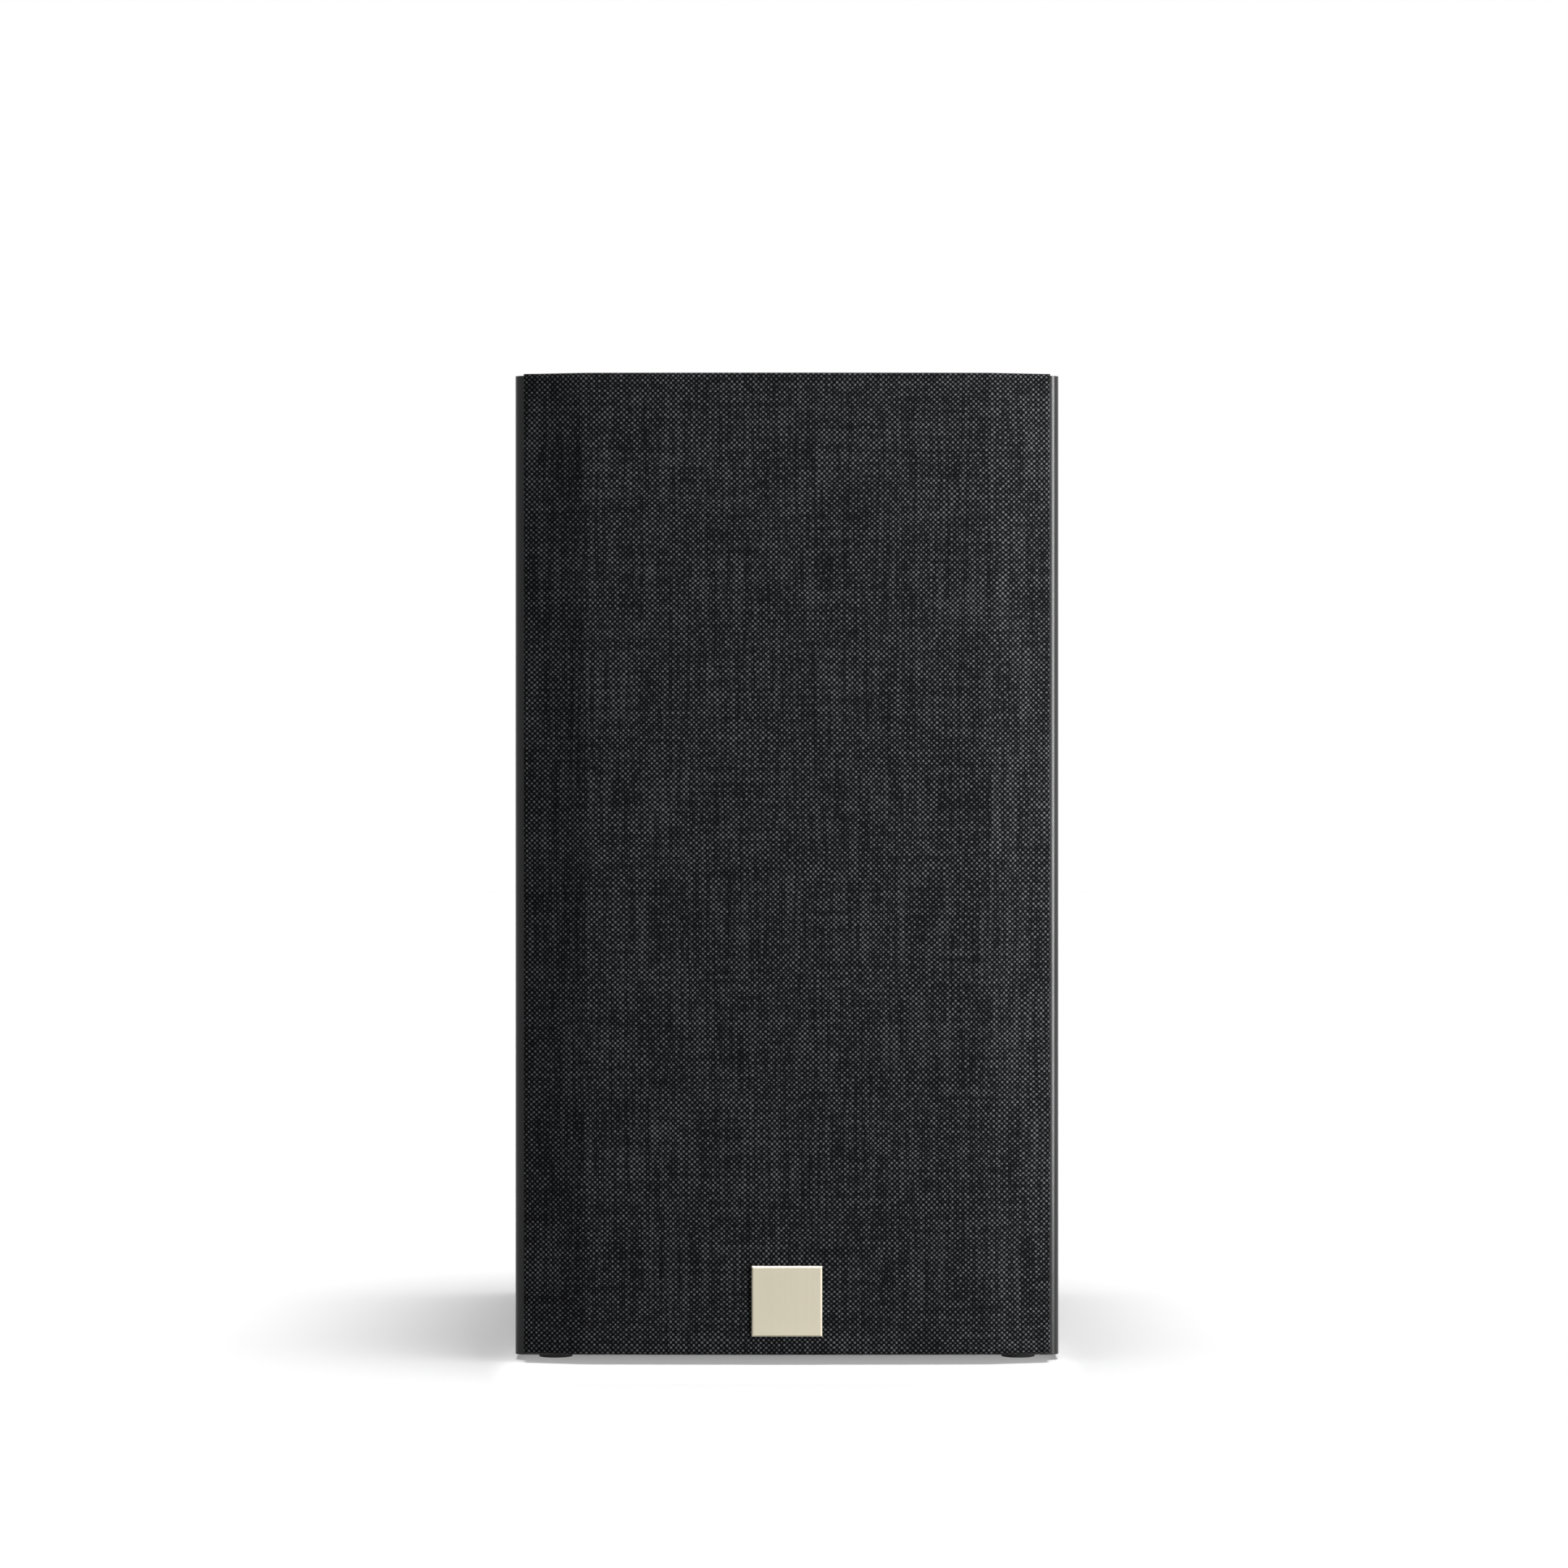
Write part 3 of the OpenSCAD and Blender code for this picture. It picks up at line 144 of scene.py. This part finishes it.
def moulded(name, colour, rough=0.5, grain=2600, depth=0.00004, strength=0.5, metal=0.0, vary=0.18,
            **sockets):
    """Moulded, cast or painted surface: mottled colour, patchy gloss and a fine even grain."""
    net = Net(name, rough, metal, **sockets)
    place = net.place()
    blotch = net.noise(place, 38, 4, 0.6)
    net.colour(net.ramp(blotch, [(0.3, shade(colour, 1 - vary)), (0.7, shade(colour, 1 + vary))]))
    net.rough(net.span(net.noise(place, 120, 5, 0.6), max(0.05, rough - 0.1), min(1, rough + 0.1)))
    net.bump(net.noise(place, grain, 2, 0.5), strength, depth)
    return net.mat


def vinyl():
    """Black wrap with a pressed grain that runs along the boards."""
    net = Net("vinyl_board", 0.5, 0.0, Specular_IOR_Level=0.32)
    long_grain = net.place((60, 60, 6))
    pores = net.noise(long_grain, 22, 6, 0.62, 0.6)
    fine = net.noise(net.place((1500, 1500, 120)), 1.0, 3, 0.5)
    net.colour(net.ramp(pores, [(0.32, (0.0045, 0.0045, 0.0047)), (0.62, (0.0115, 0.0115, 0.012))]))
    net.rough(net.span(net.noise(net.place(), 60, 4), 0.42, 0.58))
    net.bump(net.math("ADD", net.math("MULTIPLY", pores, 0.8), fine), 0.6, 0.00025)
    return net.mat


def lacquer():
    """Satin black lacquer with faint orange peel and handling haze."""
    net = Net("baffle_lacquer", 0.3, 0.0, Specular_IOR_Level=0.26)
    place = net.place()
    haze = net.noise(place, 24, 4)
    net.colour(net.ramp(haze, [(0.3, (0.006, 0.006, 0.0062)), (0.7, (0.0095, 0.0095, 0.01))]))
    net.rough(net.span(net.noise(place, 70, 5, 0.65), 0.27, 0.36))
    net.bump(net.noise(place, 620, 2), 0.12, 0.00005)
    return net.mat


def brushed(name, colour, rough, along=(4, 900, 900), vary=0.08):
    """Metal brushed along one axis."""
    net = Net(name, rough, 1.0)
    lines = net.noise(net.place(along), 1.0, 4, 0.6)
    soft = net.noise(net.place(), 30, 3)
    both = net.math("ADD", net.math("MULTIPLY", lines, 0.6), net.math("MULTIPLY", soft, 0.4))
    net.colour(net.ramp(both, [(0.3, shade(colour, 1 - vary)), (0.7, shade(colour, 1 + vary))]))
    net.rough(net.span(lines, rough - 0.07, rough + 0.07))
    net.bump(lines, 0.12, 0.00002)
    return net.mat


def wound(name, colour, pitch, rough, metal):
    """Fine wire wound round an upright or a level axis: ridges across the winding, with painted shade in the
    grooves between turns and a painted highlight on the crests.
    """
    net = Net(name, rough, metal)
    place = net.place()
    node = net.add("ShaderNodeTexWave", wave_type="BANDS", bands_direction="DIAGONAL")
    net.put(node.inputs["Vector"], place)
    node.inputs["Scale"].default_value = 0.16 / pitch
    node.inputs["Distortion"].default_value = 0.6
    ridge = node.outputs["Fac"]
    # Painted shade darkens the grooves between turns, and a painted highlight lightens the crests.
    net.colour(net.ramp(ridge, [(0.1, shade(colour, 0.45)), (0.7, colour), (1.0, shade(colour, 1.2))]))
    net.rough(net.span(net.noise(place, 200), rough - 0.08, rough + 0.08))
    net.bump(ridge, 0.6, pitch * 0.3)
    return net.mat


def cloth_net(name, pitch, dark, middle, bright, kind="UV", rough=0.9, deep=0.00012, sheen=0.25, gloss=0.3):
    """Plain weave, slubby and a little wavy: on alternate cells the gaps between threads are darkened as
    painted shade and the thread crossings lightened as a painted highlight.
    """
    net = Net(name, rough, 0.0, Sheen_Weight=sheen, Sheen_Roughness=0.5, Specular_IOR_Level=gloss)
    place = net.place(kind=kind)
    split = net.add("ShaderNodeSeparateXYZ")
    net.put(split.inputs[0], place)
    wander = net.noise(net.place((34, 13, 20), kind), 1.0, 4, 0.6)
    sway = net.noise(net.place((11, 46, 20), kind), 1.0, 4, 0.6)
    across = net.math("MULTIPLY_ADD", wander, 3.2, net.math("DIVIDE", split.outputs["X"], pitch[0]))
    along = net.math("MULTIPLY_ADD", sway, 2.6, net.math("DIVIDE", split.outputs["Y"], pitch[1]))
    wave_x = net.math("SINE", net.math("MULTIPLY", across, math.pi))
    wave_y = net.math("SINE", net.math("MULTIPLY", along, math.pi))
    check = net.math("MULTIPLY", wave_x, wave_y)
    cell = net.add("ShaderNodeCombineXYZ")
    net.put(cell.inputs[0], net.math("FLOOR", across))
    net.put(cell.inputs[1], net.math("FLOOR", along))
    white = net.add("ShaderNodeTexWhiteNoise", noise_dimensions="2D")
    net.put(white.inputs["Vector"], cell.outputs[0])
    lively = net.math("MULTIPLY_ADD", net.math("POWER", white.outputs["Value"], 2.2), 0.9, 0.35)
    streak = net.noise(net.place((760, 24, 20), kind), 1.0, 2, 0.5)
    slub = net.noise(net.place((26, 700, 20), kind), 1.0, 2, 0.5)
    mottle = net.noise(net.place((70, 60, 20), kind), 1.0, 6, 0.75)
    gain = net.math("MULTIPLY", net.span(streak, 0.5, 1.5), net.span(mottle, 0.62, 1.38))
    gain = net.math("MULTIPLY", gain, net.span(slub, 0.68, 1.32))
    # The gaps are darkened as painted shade and the crossings lightened as a painted highlight. The cell,
    # streak, slub and mottle changes are the yarn's own tone.
    crossing_highlight = net.math("POWER", net.math("MAXIMUM", check, 0.0), 1.6)
    gap_shade = net.math("POWER", net.math("MAXIMUM", net.math("MULTIPLY", check, -1.0), 0.0), 0.6)
    body = net.math("MULTIPLY", net.math("SUBTRACT", 1.0, gap_shade), 0.42)
    glow = net.math("MULTIPLY", net.math("MULTIPLY", crossing_highlight, lively), gain)
    level = net.math("ADD", net.math("MULTIPLY", body, gain), glow)
    # The dark colour is the painted shade in the gaps, the middle one is the thread's colour, and the bright
    # one is the painted highlight on the crossings.
    net.colour(net.ramp(level, [(0.0, dark), (0.42, middle), (1.0, bright)]))
    height = net.math("ADD", net.math("MULTIPLY", check, 0.5), net.math("MULTIPLY", streak, 0.4))
    net.bump(height, 0.8, deep)
    return net.mat


def fibre(name, colour, scale=900):
    """Loose or felted fibre."""
    net = Net(name, 0.95, 0.0, Sheen_Weight=0.4)
    place = net.place()
    fuzz = net.noise(place, scale, 6, 0.7, 2.0)
    clump = net.noise(place, 70, 4, 0.6)
    both = net.math("ADD", net.math("MULTIPLY", fuzz, 0.6), net.math("MULTIPLY", clump, 0.4))
    net.colour(net.ramp(both, [(0.3, shade(colour, 0.62)), (0.65, colour)]))
    net.bump(both, 0.9, 0.0006)
    return net.mat


CLOTH_PITCH = (0.000937, 0.000907)
mats = {
    "vinyl_board": vinyl(),
    "baffle_lacquer": lacquer(),
    "bare_board": fibre("bare_board", (0.30, 0.20, 0.11), 1500),
    "moulded_black": moulded("moulded_black", (0.012, 0.012, 0.0125), 0.46),
    # Cloth colours: painted shade in the weave's gaps, then the thread colour, then a painted highlight on
    # the thread crossings.
    "grille_cloth": cloth_net("grille_cloth", CLOTH_PITCH, (0.0002, 0.00022, 0.00026),
                              (0.0036, 0.0038, 0.0042), (0.060, 0.0625, 0.067), sheen=0.01, gloss=0.03),
    "badge_metal": brushed("badge_metal", (0.555, 0.513, 0.402), 0.42, (900, 900, 10), 0.03),
    "foot_rubber": moulded("foot_rubber", (0.02, 0.02, 0.02), 0.8),
    "gasket_foam": moulded("gasket_foam", (0.015, 0.015, 0.015), 0.9, 3500, 0.0002, 0.9),
    "surround_rubber": moulded("surround_rubber", (0.01, 0.01, 0.0105), 0.42, 1500),
    "screw_steel": brushed("screw_steel", (0.06, 0.06, 0.062), 0.38),
    "bright_steel": brushed("bright_steel", (0.5, 0.51, 0.52), 0.34),
    "gold_brass": brushed("gold_brass", (0.83, 0.60, 0.24), 0.22),
    "knob_red": moulded("knob_red", (0.42, 0.012, 0.01), 0.28, 900, 0.00002, 0.2, Coat_Weight=0.3),
    "knob_black": moulded("knob_black", (0.01, 0.01, 0.011), 0.28, 900, 0.00002, 0.2, Coat_Weight=0.3),
    "circuit_board": moulded("circuit_board", (0.012, 0.11, 0.035), 0.35, 700, 0.00003, 0.3, vary=0.25),
    "nylon": moulded("nylon", (0.75, 0.72, 0.64), 0.5, 900, 0.00003, 0.3, Subsurface_Weight=0.1),
    # copper_wire carries painted shade in its grooves and a painted highlight on its crests.
    "copper_wire": wound("copper_wire", (0.62, 0.24, 0.10), 0.0008, 0.3, 0.85),
    "capacitor_sleeve": moulded("capacitor_sleeve", (0.012, 0.035, 0.16), 0.25, 500, 0.00003, 0.2, vary=0.1),
    "film_amber": moulded("film_amber", (0.48, 0.27, 0.06), 0.3, 500, 0.00003, 0.2),
    "white_ceramic": moulded("white_ceramic", (0.62, 0.60, 0.54), 0.75, 1400, 0.00012, 0.7),
    "wire_red": moulded("wire_red", (0.38, 0.012, 0.012), 0.35, 600, 0.00003, 0.2),
    "wire_black": moulded("wire_black", (0.012, 0.012, 0.012), 0.35, 600, 0.00003, 0.2),
    "wool": fibre("wool", (0.80, 0.78, 0.73)),
    "basket_metal": moulded("basket_metal", (0.016, 0.016, 0.0165), 0.5, 1300, 0.00008, 0.6),
    "cone_paper": moulded("cone_paper", (0.014, 0.014, 0.015), 0.48, 1000, 0.00006, 0.5),
    # The spider and the dome's silk carry the same painted shade in the gaps and painted highlight on the
    # crossings.
    "spider_cloth": cloth_net("spider_cloth", (0.0009, 0.0009), (0.12, 0.06, 0.015), (0.42, 0.25, 0.07),
                              (0.62, 0.42, 0.16), "Object", 0.7, 0.0002, 0.1),
    "ferrite": moulded("ferrite", (0.028, 0.028, 0.031), 0.62, 800, 0.0002, 0.8),
    "dome_silk": cloth_net("dome_silk", (0.0004, 0.0004), (0.006, 0.006, 0.007), (0.012, 0.012, 0.014),
                           (0.03, 0.03, 0.034), "Object", 0.42, 0.00003, 0.3),
}
slots = {entry["node"]: entry["material_slot"] for entry in frame["record"]["subparts"]}
for name, obj in nodes.items():
    if not obj.material_slots:
        obj.data.materials.append(None)
    for holder in obj.material_slots:
        holder.material = mats[slots[name]]


# ---------------------------------------------------------------- pieces

def finish_piece(name, verts, faces, slot, body=None, smooth=True, uvs=None):
    mesh = bpy.data.meshes.new(name)
    mesh.from_pydata([tuple(v) for v in verts], [], faces)
    mesh.validate()
    obj = bpy.data.objects.new(name, mesh)
    scene.collection.objects.link(obj)
    mesh.materials.append(mats[slot])
    if uvs:
        layer = mesh.uv_layers.new(name="weave")
        for loop in mesh.loops:
            layer.data[loop.index].uv = uvs[loop.vertex_index]
    for polygon in mesh.polygons:
        polygon.use_smooth = smooth
    if body:
        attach(obj, body)
    return obj


def bend_by(obj, weight):
    """Bakes obj's transform into its points and works out a weight from 0 to 1 for each point; nothing uses
    the weights.
    """
    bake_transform(obj)
    values = [max(0.0, min(1.0, weight(v.co))) for v in obj.data.vertices]


def revolve(profile, axis_x, axis_z, steps, closed=True):
    """Points (radius, y) turned round the axis along Y."""
    count = len(profile)
    verts = [
        (axis_x + r * math.cos(2 * math.pi * k / steps), y, axis_z + r * math.sin(2 * math.pi * k / steps))
        for k in range(steps) for r, y in profile
    ]
    last = count if closed else count - 1
    faces = []
    for k in range(steps):
        for i in range(last):
            a, b = k * count + i, k * count + (i + 1) % count
            c, d = ((k + 1) % steps) * count + (i + 1) % count, ((k + 1) % steps) * count + i
            faces.append((a, b, c, d))
    return verts, faces


# Grille cloth: one sheet stretched over the frame's face, turned round its edge and hemmed behind
WING_W = 0.022
WING_DROP = 0.006
CROWN = 0.001
EDGE_R = 0.0012
HEM_W = 0.0055
CLOTH_T = 0.0004
CREASE_REACH = 0.0006
# The declared area over the declared rectangle is given. The rectangle takes every wall to be as
# deep as at the middle of the face, so it is 14 mm wider than the modelled cut, which is 216 by 391 mm.
FACE_COLUMNS = 26
WING_COLUMNS = 8
rows = 120

cloth_low, cloth_high = (Vector(c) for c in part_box("grille_cloth"))
half_w = cloth_high.x
mid_z = (cloth_low.z + cloth_high.z) / 2
half_h = (cloth_high.z - cloth_low.z) / 2
crease_x = half_w - WING_W
face_y = cloth_low.y
back_y = cloth_high.y


def cloth_y(x):
    x = abs(x)
    if x <= crease_x:
        return face_y + CROWN * (x / crease_x) ** 2
    return face_y + CROWN + WING_DROP * (x - crease_x) / WING_W


def spread(points):
    """Both signs of the columns, without doubles, in order."""
    return sorted({round(s * p, 6) for p in points for s in (-1, 1)})


columns = [crease_x * k / FACE_COLUMNS for k in range(FACE_COLUMNS)]
columns += [crease_x + beside for beside in (-0.0009, -0.0003, 0.0003, 0.0009)]
columns += [crease_x + (WING_W - EDGE_R) * k / WING_COLUMNS for k in range(1, WING_COLUMNS + 1)]
xs = spread(columns)
zs = [mid_z + (half_h - EDGE_R) * (2 * k / rows - 1) for k in range(rows + 1)]


def rest_y(x):
    """The face's depth, with the crease eased over about a millimetre as cloth lies on an edge."""
    return (cloth_y(x - CREASE_REACH) + 2 * cloth_y(x) + cloth_y(x + CREASE_REACH)) / 4


verts, uvs, faces = [], [], []
for z in zs:
    for x in xs:
        verts.append((x, rest_y(x), z))
        uvs.append((x, z - mid_z))
wide = len(xs)
for j in range(rows):
    for i in range(wide - 1):
        a = j * wide + i
        faces.append((a, a + 1, a + 1 + wide, a + wide))

loop = [(i, 0) for i in range(wide)]
loop += [(wide - 1, j) for j in range(1, rows + 1)]
loop += [(i, rows) for i in range(wide - 2, -1, -1)]
loop += [(0, j) for j in range(rows - 1, 0, -1)]


def outward(i, j):
    return (i == wide - 1) - (i == 0), (j == rows) - (j == 0)


stage_steps = {"turn": 4, "wall": 3, "hem": 2}
stages = [(kind, k / steps) for kind, steps in stage_steps.items() for k in range(1, steps + 1)]
ring = [j * wide + i for i, j in loop]
for kind, t in stages:
    fresh = []
    for i, j in loop:
        x, y, z = verts[j * wide + i]
        u, v = uvs[j * wide + i]
        out_x, out_z = outward(i, j)
        wall_top = y + EDGE_R
        if kind == "turn":
            out, depth = EDGE_R * math.sin(t * math.pi / 2), y + EDGE_R * (1 - math.cos(t * math.pi / 2))
            run = EDGE_R * t * math.pi / 2
        elif kind == "wall":
            out, depth = EDGE_R, wall_top + (back_y - wall_top) * t
            run = EDGE_R * math.pi / 2 + (back_y - wall_top) * t
        else:
            out, depth = EDGE_R - HEM_W * t, back_y
            run = EDGE_R * math.pi / 2 + (back_y - wall_top) + HEM_W * t
        fresh.append(len(verts))
        verts.append((x + out_x * out, depth, z + out_z * out))
        uvs.append((u + out_x * run, v + out_z * run))
    for k in range(len(loop)):
        n = (k + 1) % len(loop)
        faces.append((ring[n], ring[k], fresh[k], fresh[n]))
    ring = fresh

cloth = finish_piece("stretched_grille_cloth", verts, faces, "grille_cloth", "grille", uvs=uvs)
thick = cloth.modifiers.new("thickness", "SOLIDIFY")
thick.thickness = CLOTH_T
thick.offset = -1
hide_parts("grille_cloth")


# Woofer and tweeter suspensions: they roll between the basket and the moving parts
def axis_of(node):
    low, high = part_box(node)
    return (low[0] + high[0]) / 2, (low[2] + high[2]) / 2


woofer_x, woofer_z = axis_of("woofer_magnet")
tweeter_x, tweeter_z = axis_of("tweeter_magnet")


def smooth(t):
    t = max(0.0, min(1.0, t))
    return t * t * (3 - 2 * t)


def radius_weight(inner, outer, x0, z0):
    return lambda co: smooth((outer - math.hypot(co.x - x0, co.z - z0)) / (outer - inner))


ROLL_ARC = 20
INNER_RISE = 0.98
ROLL_MARGIN = 0.0004


def half_roll(name, node, inner_lip, roll_in, roll_out, outer_lip, thickness, slot, x0, z0, steps):
    """A half-roll suspension, as thick as said, filling the CAD solid's place."""
    low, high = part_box(node)
    back = high[1]
    radius = (roll_out - roll_in) / 2
    mid = (roll_out + roll_in) / 2
    turns = [math.pi * k / ROLL_ARC for k in range(ROLL_ARC + 1)]
    outer = [(mid - radius * math.cos(a), back - thickness - radius * math.sin(a)) for a in turns]
    inner = [(mid - (radius - thickness) * math.cos(a), back - radius * math.sin(a) * INNER_RISE)
             for a in reversed(turns)]
    profile = [(inner_lip, back)] if inner_lip < roll_in else []
    profile += [(inner_lip, back - thickness)] if inner_lip < roll_in else []
    profile += outer + [(outer_lip, back - thickness), (outer_lip, back)] + inner
    verts, faces = revolve(profile, x0, z0, steps)
    obj = finish_piece(name, verts, faces, slot)
    bend_by(obj, radius_weight(roll_in + ROLL_MARGIN, roll_out - ROLL_MARGIN, x0, z0))
    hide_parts(node)
    return obj


half_roll("woofer_roll_surround", "woofer_surround", 0.0570, 0.0595, 0.0705, 0.0740, 0.0008,
          "surround_rubber", woofer_x, woofer_z, 128)

low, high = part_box("woofer_spider")
spider_y = (low[1] + high[1]) / 2
waves_in, waves_out, seat_out, hub = 0.0159, 0.0420, 0.0465, 0.0129
half_t, wave_h, waves, steps = 0.0003, 0.0011, 5, 72
front, back = [(hub, spider_y - half_t)], [(hub, spider_y + half_t)]
for k in range(steps + 1):
    r = waves_in + (waves_out - waves_in) * k / steps
    y = spider_y - wave_h * math.sin(2 * waves * math.pi * k / steps)
    front.append((r, y - half_t))
    back.append((r, y + half_t))
front.append((seat_out, spider_y - half_t))
back.append((seat_out, spider_y + half_t))
verts, faces = revolve(front + back[::-1], woofer_x, woofer_z, 96)
spider = finish_piece("woofer_corrugated_spider", verts, faces, "spider_cloth")
bend_by(spider, radius_weight(0.0145, 0.0425, woofer_x, woofer_z))
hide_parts("woofer_spider")

# Tweeter roll: thin silk from the voice coil's top to the dome's mounting ring
dome_r = 0.0134
half_roll("tweeter_roll_surround", "tweeter_surround", dome_r, dome_r, 0.0170, 0.0210, 0.0004,
          "dome_silk", tweeter_x, tweeter_z, 96)


# Braided leads from the tag strip to the coil former, slack enough for the cone's travel
def smooth_path(points, parts):
    """Catmull-Rom through the points."""
    points = [Vector(p) for p in points]
    ends = [2 * points[0] - points[1]] + points + [2 * points[-1] - points[-2]]
    path = []
    for k in range(1, len(ends) - 2):
        a, b, c, d = ends[k - 1:k + 3]
        for i in range(parts):
            t = i / parts
            path.append(0.5 * (2 * b + (c - a) * t + (2 * a - 5 * b + 4 * c - d) * t * t
                               + (3 * b - a - 3 * c + d) * t ** 3))
    return path + [points[-1]]


def braid(path, r, sides, twist):
    """A closed tube round the path, its section a little lobed and turning, as a braid is."""
    verts, faces = [], []
    for k, point in enumerate(path):
        run = (path[min(k + 1, len(path) - 1)] - path[max(k - 1, 0)]).normalized()
        side = run.cross(Vector((0, 0, 1))).normalized()
        up = side.cross(run)
        for i in range(sides):
            a = 2 * math.pi * i / sides
            lobe = r * (1 + 0.14 * math.cos(3 * a + twist * k))
            verts.append(point + side * lobe * math.cos(a) + up * lobe * math.sin(a))
    for k in range(len(path) - 1):
        for i in range(sides):
            j = (i + 1) % sides
            faces.append((k * sides + i, k * sides + j, (k + 1) * sides + j, (k + 1) * sides + i))
    faces.append(tuple(range(sides))[::-1])
    faces.append(tuple((len(path) - 1) * sides + i for i in range(sides)))
    return verts, faces


LEAD_R = 0.00052
LEAD_SIDES = 12
LEAD_TWIST = 0.8
baffle_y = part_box("front_baffle")[0][1]
verts, faces = [], []
for side in (-1, 1):
    route = [(-0.0654, 0.032, 0.014), (-0.056, 0.031, 0.014), (-0.042, 0.024, 0.012), (-0.027, 0.027, 0.008),
             (-0.0145, 0.028, 0.002)]
    path = smooth_path([(x, baffle_y + y, woofer_z + side * z) for x, y, z in route], 12)
    more, shell = braid(path, LEAD_R, LEAD_SIDES, LEAD_TWIST)
    faces += [tuple(i + len(verts) for i in face) for face in shell]
    verts += more
leads = finish_piece("woofer_braided_leads", verts, faces, "copper_wire")
bend_by(leads, lambda co: smooth((co.x + 0.0640) / 0.0485))
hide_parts("woofer_tinsel_leads")

# Wool lining: the pad's mesh made soft, its surface pulled in unevenly between its fibres
WOOL_VOXEL = 0.0036
WOOL_IN = 0.0007
WOOL_DEEP = 0.0016
wool = bpy.data.objects.new("cabinet_wool_lining", nodes["damping_wadding"].data.copy())
scene.collection.objects.link(wool)
fine = wool.modifiers.new("fine", "REMESH")
fine.mode = "VOXEL"
fine.voxel_size = WOOL_VOXEL
view = bpy.context.evaluated_depsgraph_get()
soft = bpy.data.meshes.new_from_object(wool.evaluated_get(view))
wool.modifiers.clear()
wool.data = soft
low, high = (Vector(c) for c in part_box("damping_wadding"))
for vertex, normal in [(v, v.normal.copy()) for v in soft.vertices]:
    at = vertex.co
    tuft = noise.noise(at * 90) * 0.5 + noise.noise(at * 210) * 0.3 + noise.noise(at * 34)
    vertex.co = at - normal * (WOOL_IN + WOOL_DEEP * max(0.0, tuft + 0.45))
    for axis in range(3):
        vertex.co[axis] = min(max(vertex.co[axis], low[axis]), high[axis])
for polygon in soft.polygons:
    polygon.use_smooth = True
soft.materials.clear()
soft.materials.append(mats["wool"])
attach(wool, "cabinet")
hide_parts("damping_wadding")

# ---------------------------------------------------------------- room, camera and light

cabinet_low_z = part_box("front_baffle")[0][2]
CAMERA_D = 1.9
CAMERA_UP = 0.2046
CAMERA_X = -0.00105
camera = bpy.data.cameras.new("camera")
camera.sensor_width = 36
camera.lens = 121.64
camera.clip_end = 50
eye = bpy.data.objects.new("camera", camera)
eye.location = (CAMERA_X, baffle_y - CAMERA_D, cabinet_low_z + CAMERA_UP)
eye.rotation_euler = (math.pi / 2, 0, 0)
scene.collection.objects.link(eye)
scene.camera = eye

world = bpy.data.worlds.new("room")
scene.world = world
world.use_nodes = True
sky = world.node_tree
heading = sky.nodes.new("ShaderNodeTexCoord")
parts = sky.nodes.new("ShaderNodeSeparateXYZ")
level = sky.nodes.new("ShaderNodeMapRange")
level.interpolation_type = "SMOOTHSTEP"
for key, value in {"From Min": 0.17, "From Max": 0.5, "To Min": 1.0, "To Max": 0.05}.items():
    level.inputs[key].default_value = value
sky.links.new(heading.outputs["Generated"], parts.inputs[0])
sky.links.new(parts.outputs["Z"], level.inputs["Value"])
# Bright near the horizon and dim overhead, so that the paper stays white and the shadow soft
sky.nodes["Background"].inputs["Color"].default_value = (1, 1, 1, 1)
sky.links.new(level.outputs["Result"], sky.nodes["Background"].inputs["Strength"])
scene.view_settings.view_transform = "Standard"

floor_mesh = bpy.data.meshes.new("floor")
FLOOR_HALF = 8
floor_corners = [(x * FLOOR_HALF, y * FLOOR_HALF, 0) for x, y in ((-1, -1), (1, -1), (1, 1), (-1, 1))]
floor_mesh.from_pydata(floor_corners, [], [(0, 1, 2, 3)])
floor = bpy.data.objects.new("floor", floor_mesh)
scene.collection.objects.link(floor)
paper = Net("floor_paper", 0.9)
cloud = paper.noise(paper.place(), 3)
paper.colour(paper.ramp(cloud, [(0.0, (0.80, 0.80, 0.80)), (1.0, (0.82, 0.82, 0.82))]))
floor_mesh.materials.append(paper.mat)

# Lights given this collection spare the floor
spared = bpy.data.collections.new("floor_only")
spared.objects.link(floor)
spared.collection_objects[0].light_linking.link_state = "EXCLUDE"


def softbox(name, at, aim, size, power, lights_floor=True):
    light = bpy.data.lights.new(name, "AREA")
    light.shape = "RECTANGLE"
    light.size, light.size_y = size
    light.energy = power
    obj = bpy.data.objects.new(name, light)
    obj.location = at
    obj.rotation_euler = (Vector(aim) - Vector(at)).to_track_quat("-Z", "Y").to_euler()
    obj.visible_camera = False
    if not lights_floor:
        obj.light_linking.receiver_collection = spared
    scene.collection.objects.link(obj)
    return obj


softbox("key_right", (0.50, -0.43, 0.18), (0, -0.13, 0.18), (0.14, 1.2), 20, False)
# A narrow strip low in front lights only the paper under the cabinet's front edge
low_front = softbox("low_front", (0, baffle_y - 0.12, 0.012), (0, baffle_y + 0.01, 0), (0.2, 0.01), 0.035)
low_front.data.spread = math.radians(10)
only_floor = bpy.data.collections.new("only_floor")
only_floor.objects.link(floor)
low_front.light_linking.receiver_collection = only_floor
overhead = bpy.data.lights.new("overhead", "SUN")
overhead.energy = 3.65
overhead.angle = math.radians(32)
high = bpy.data.objects.new("overhead", overhead)
high.rotation_euler = (math.radians(3), math.radians(3.5), 0)
scene.collection.objects.link(high)
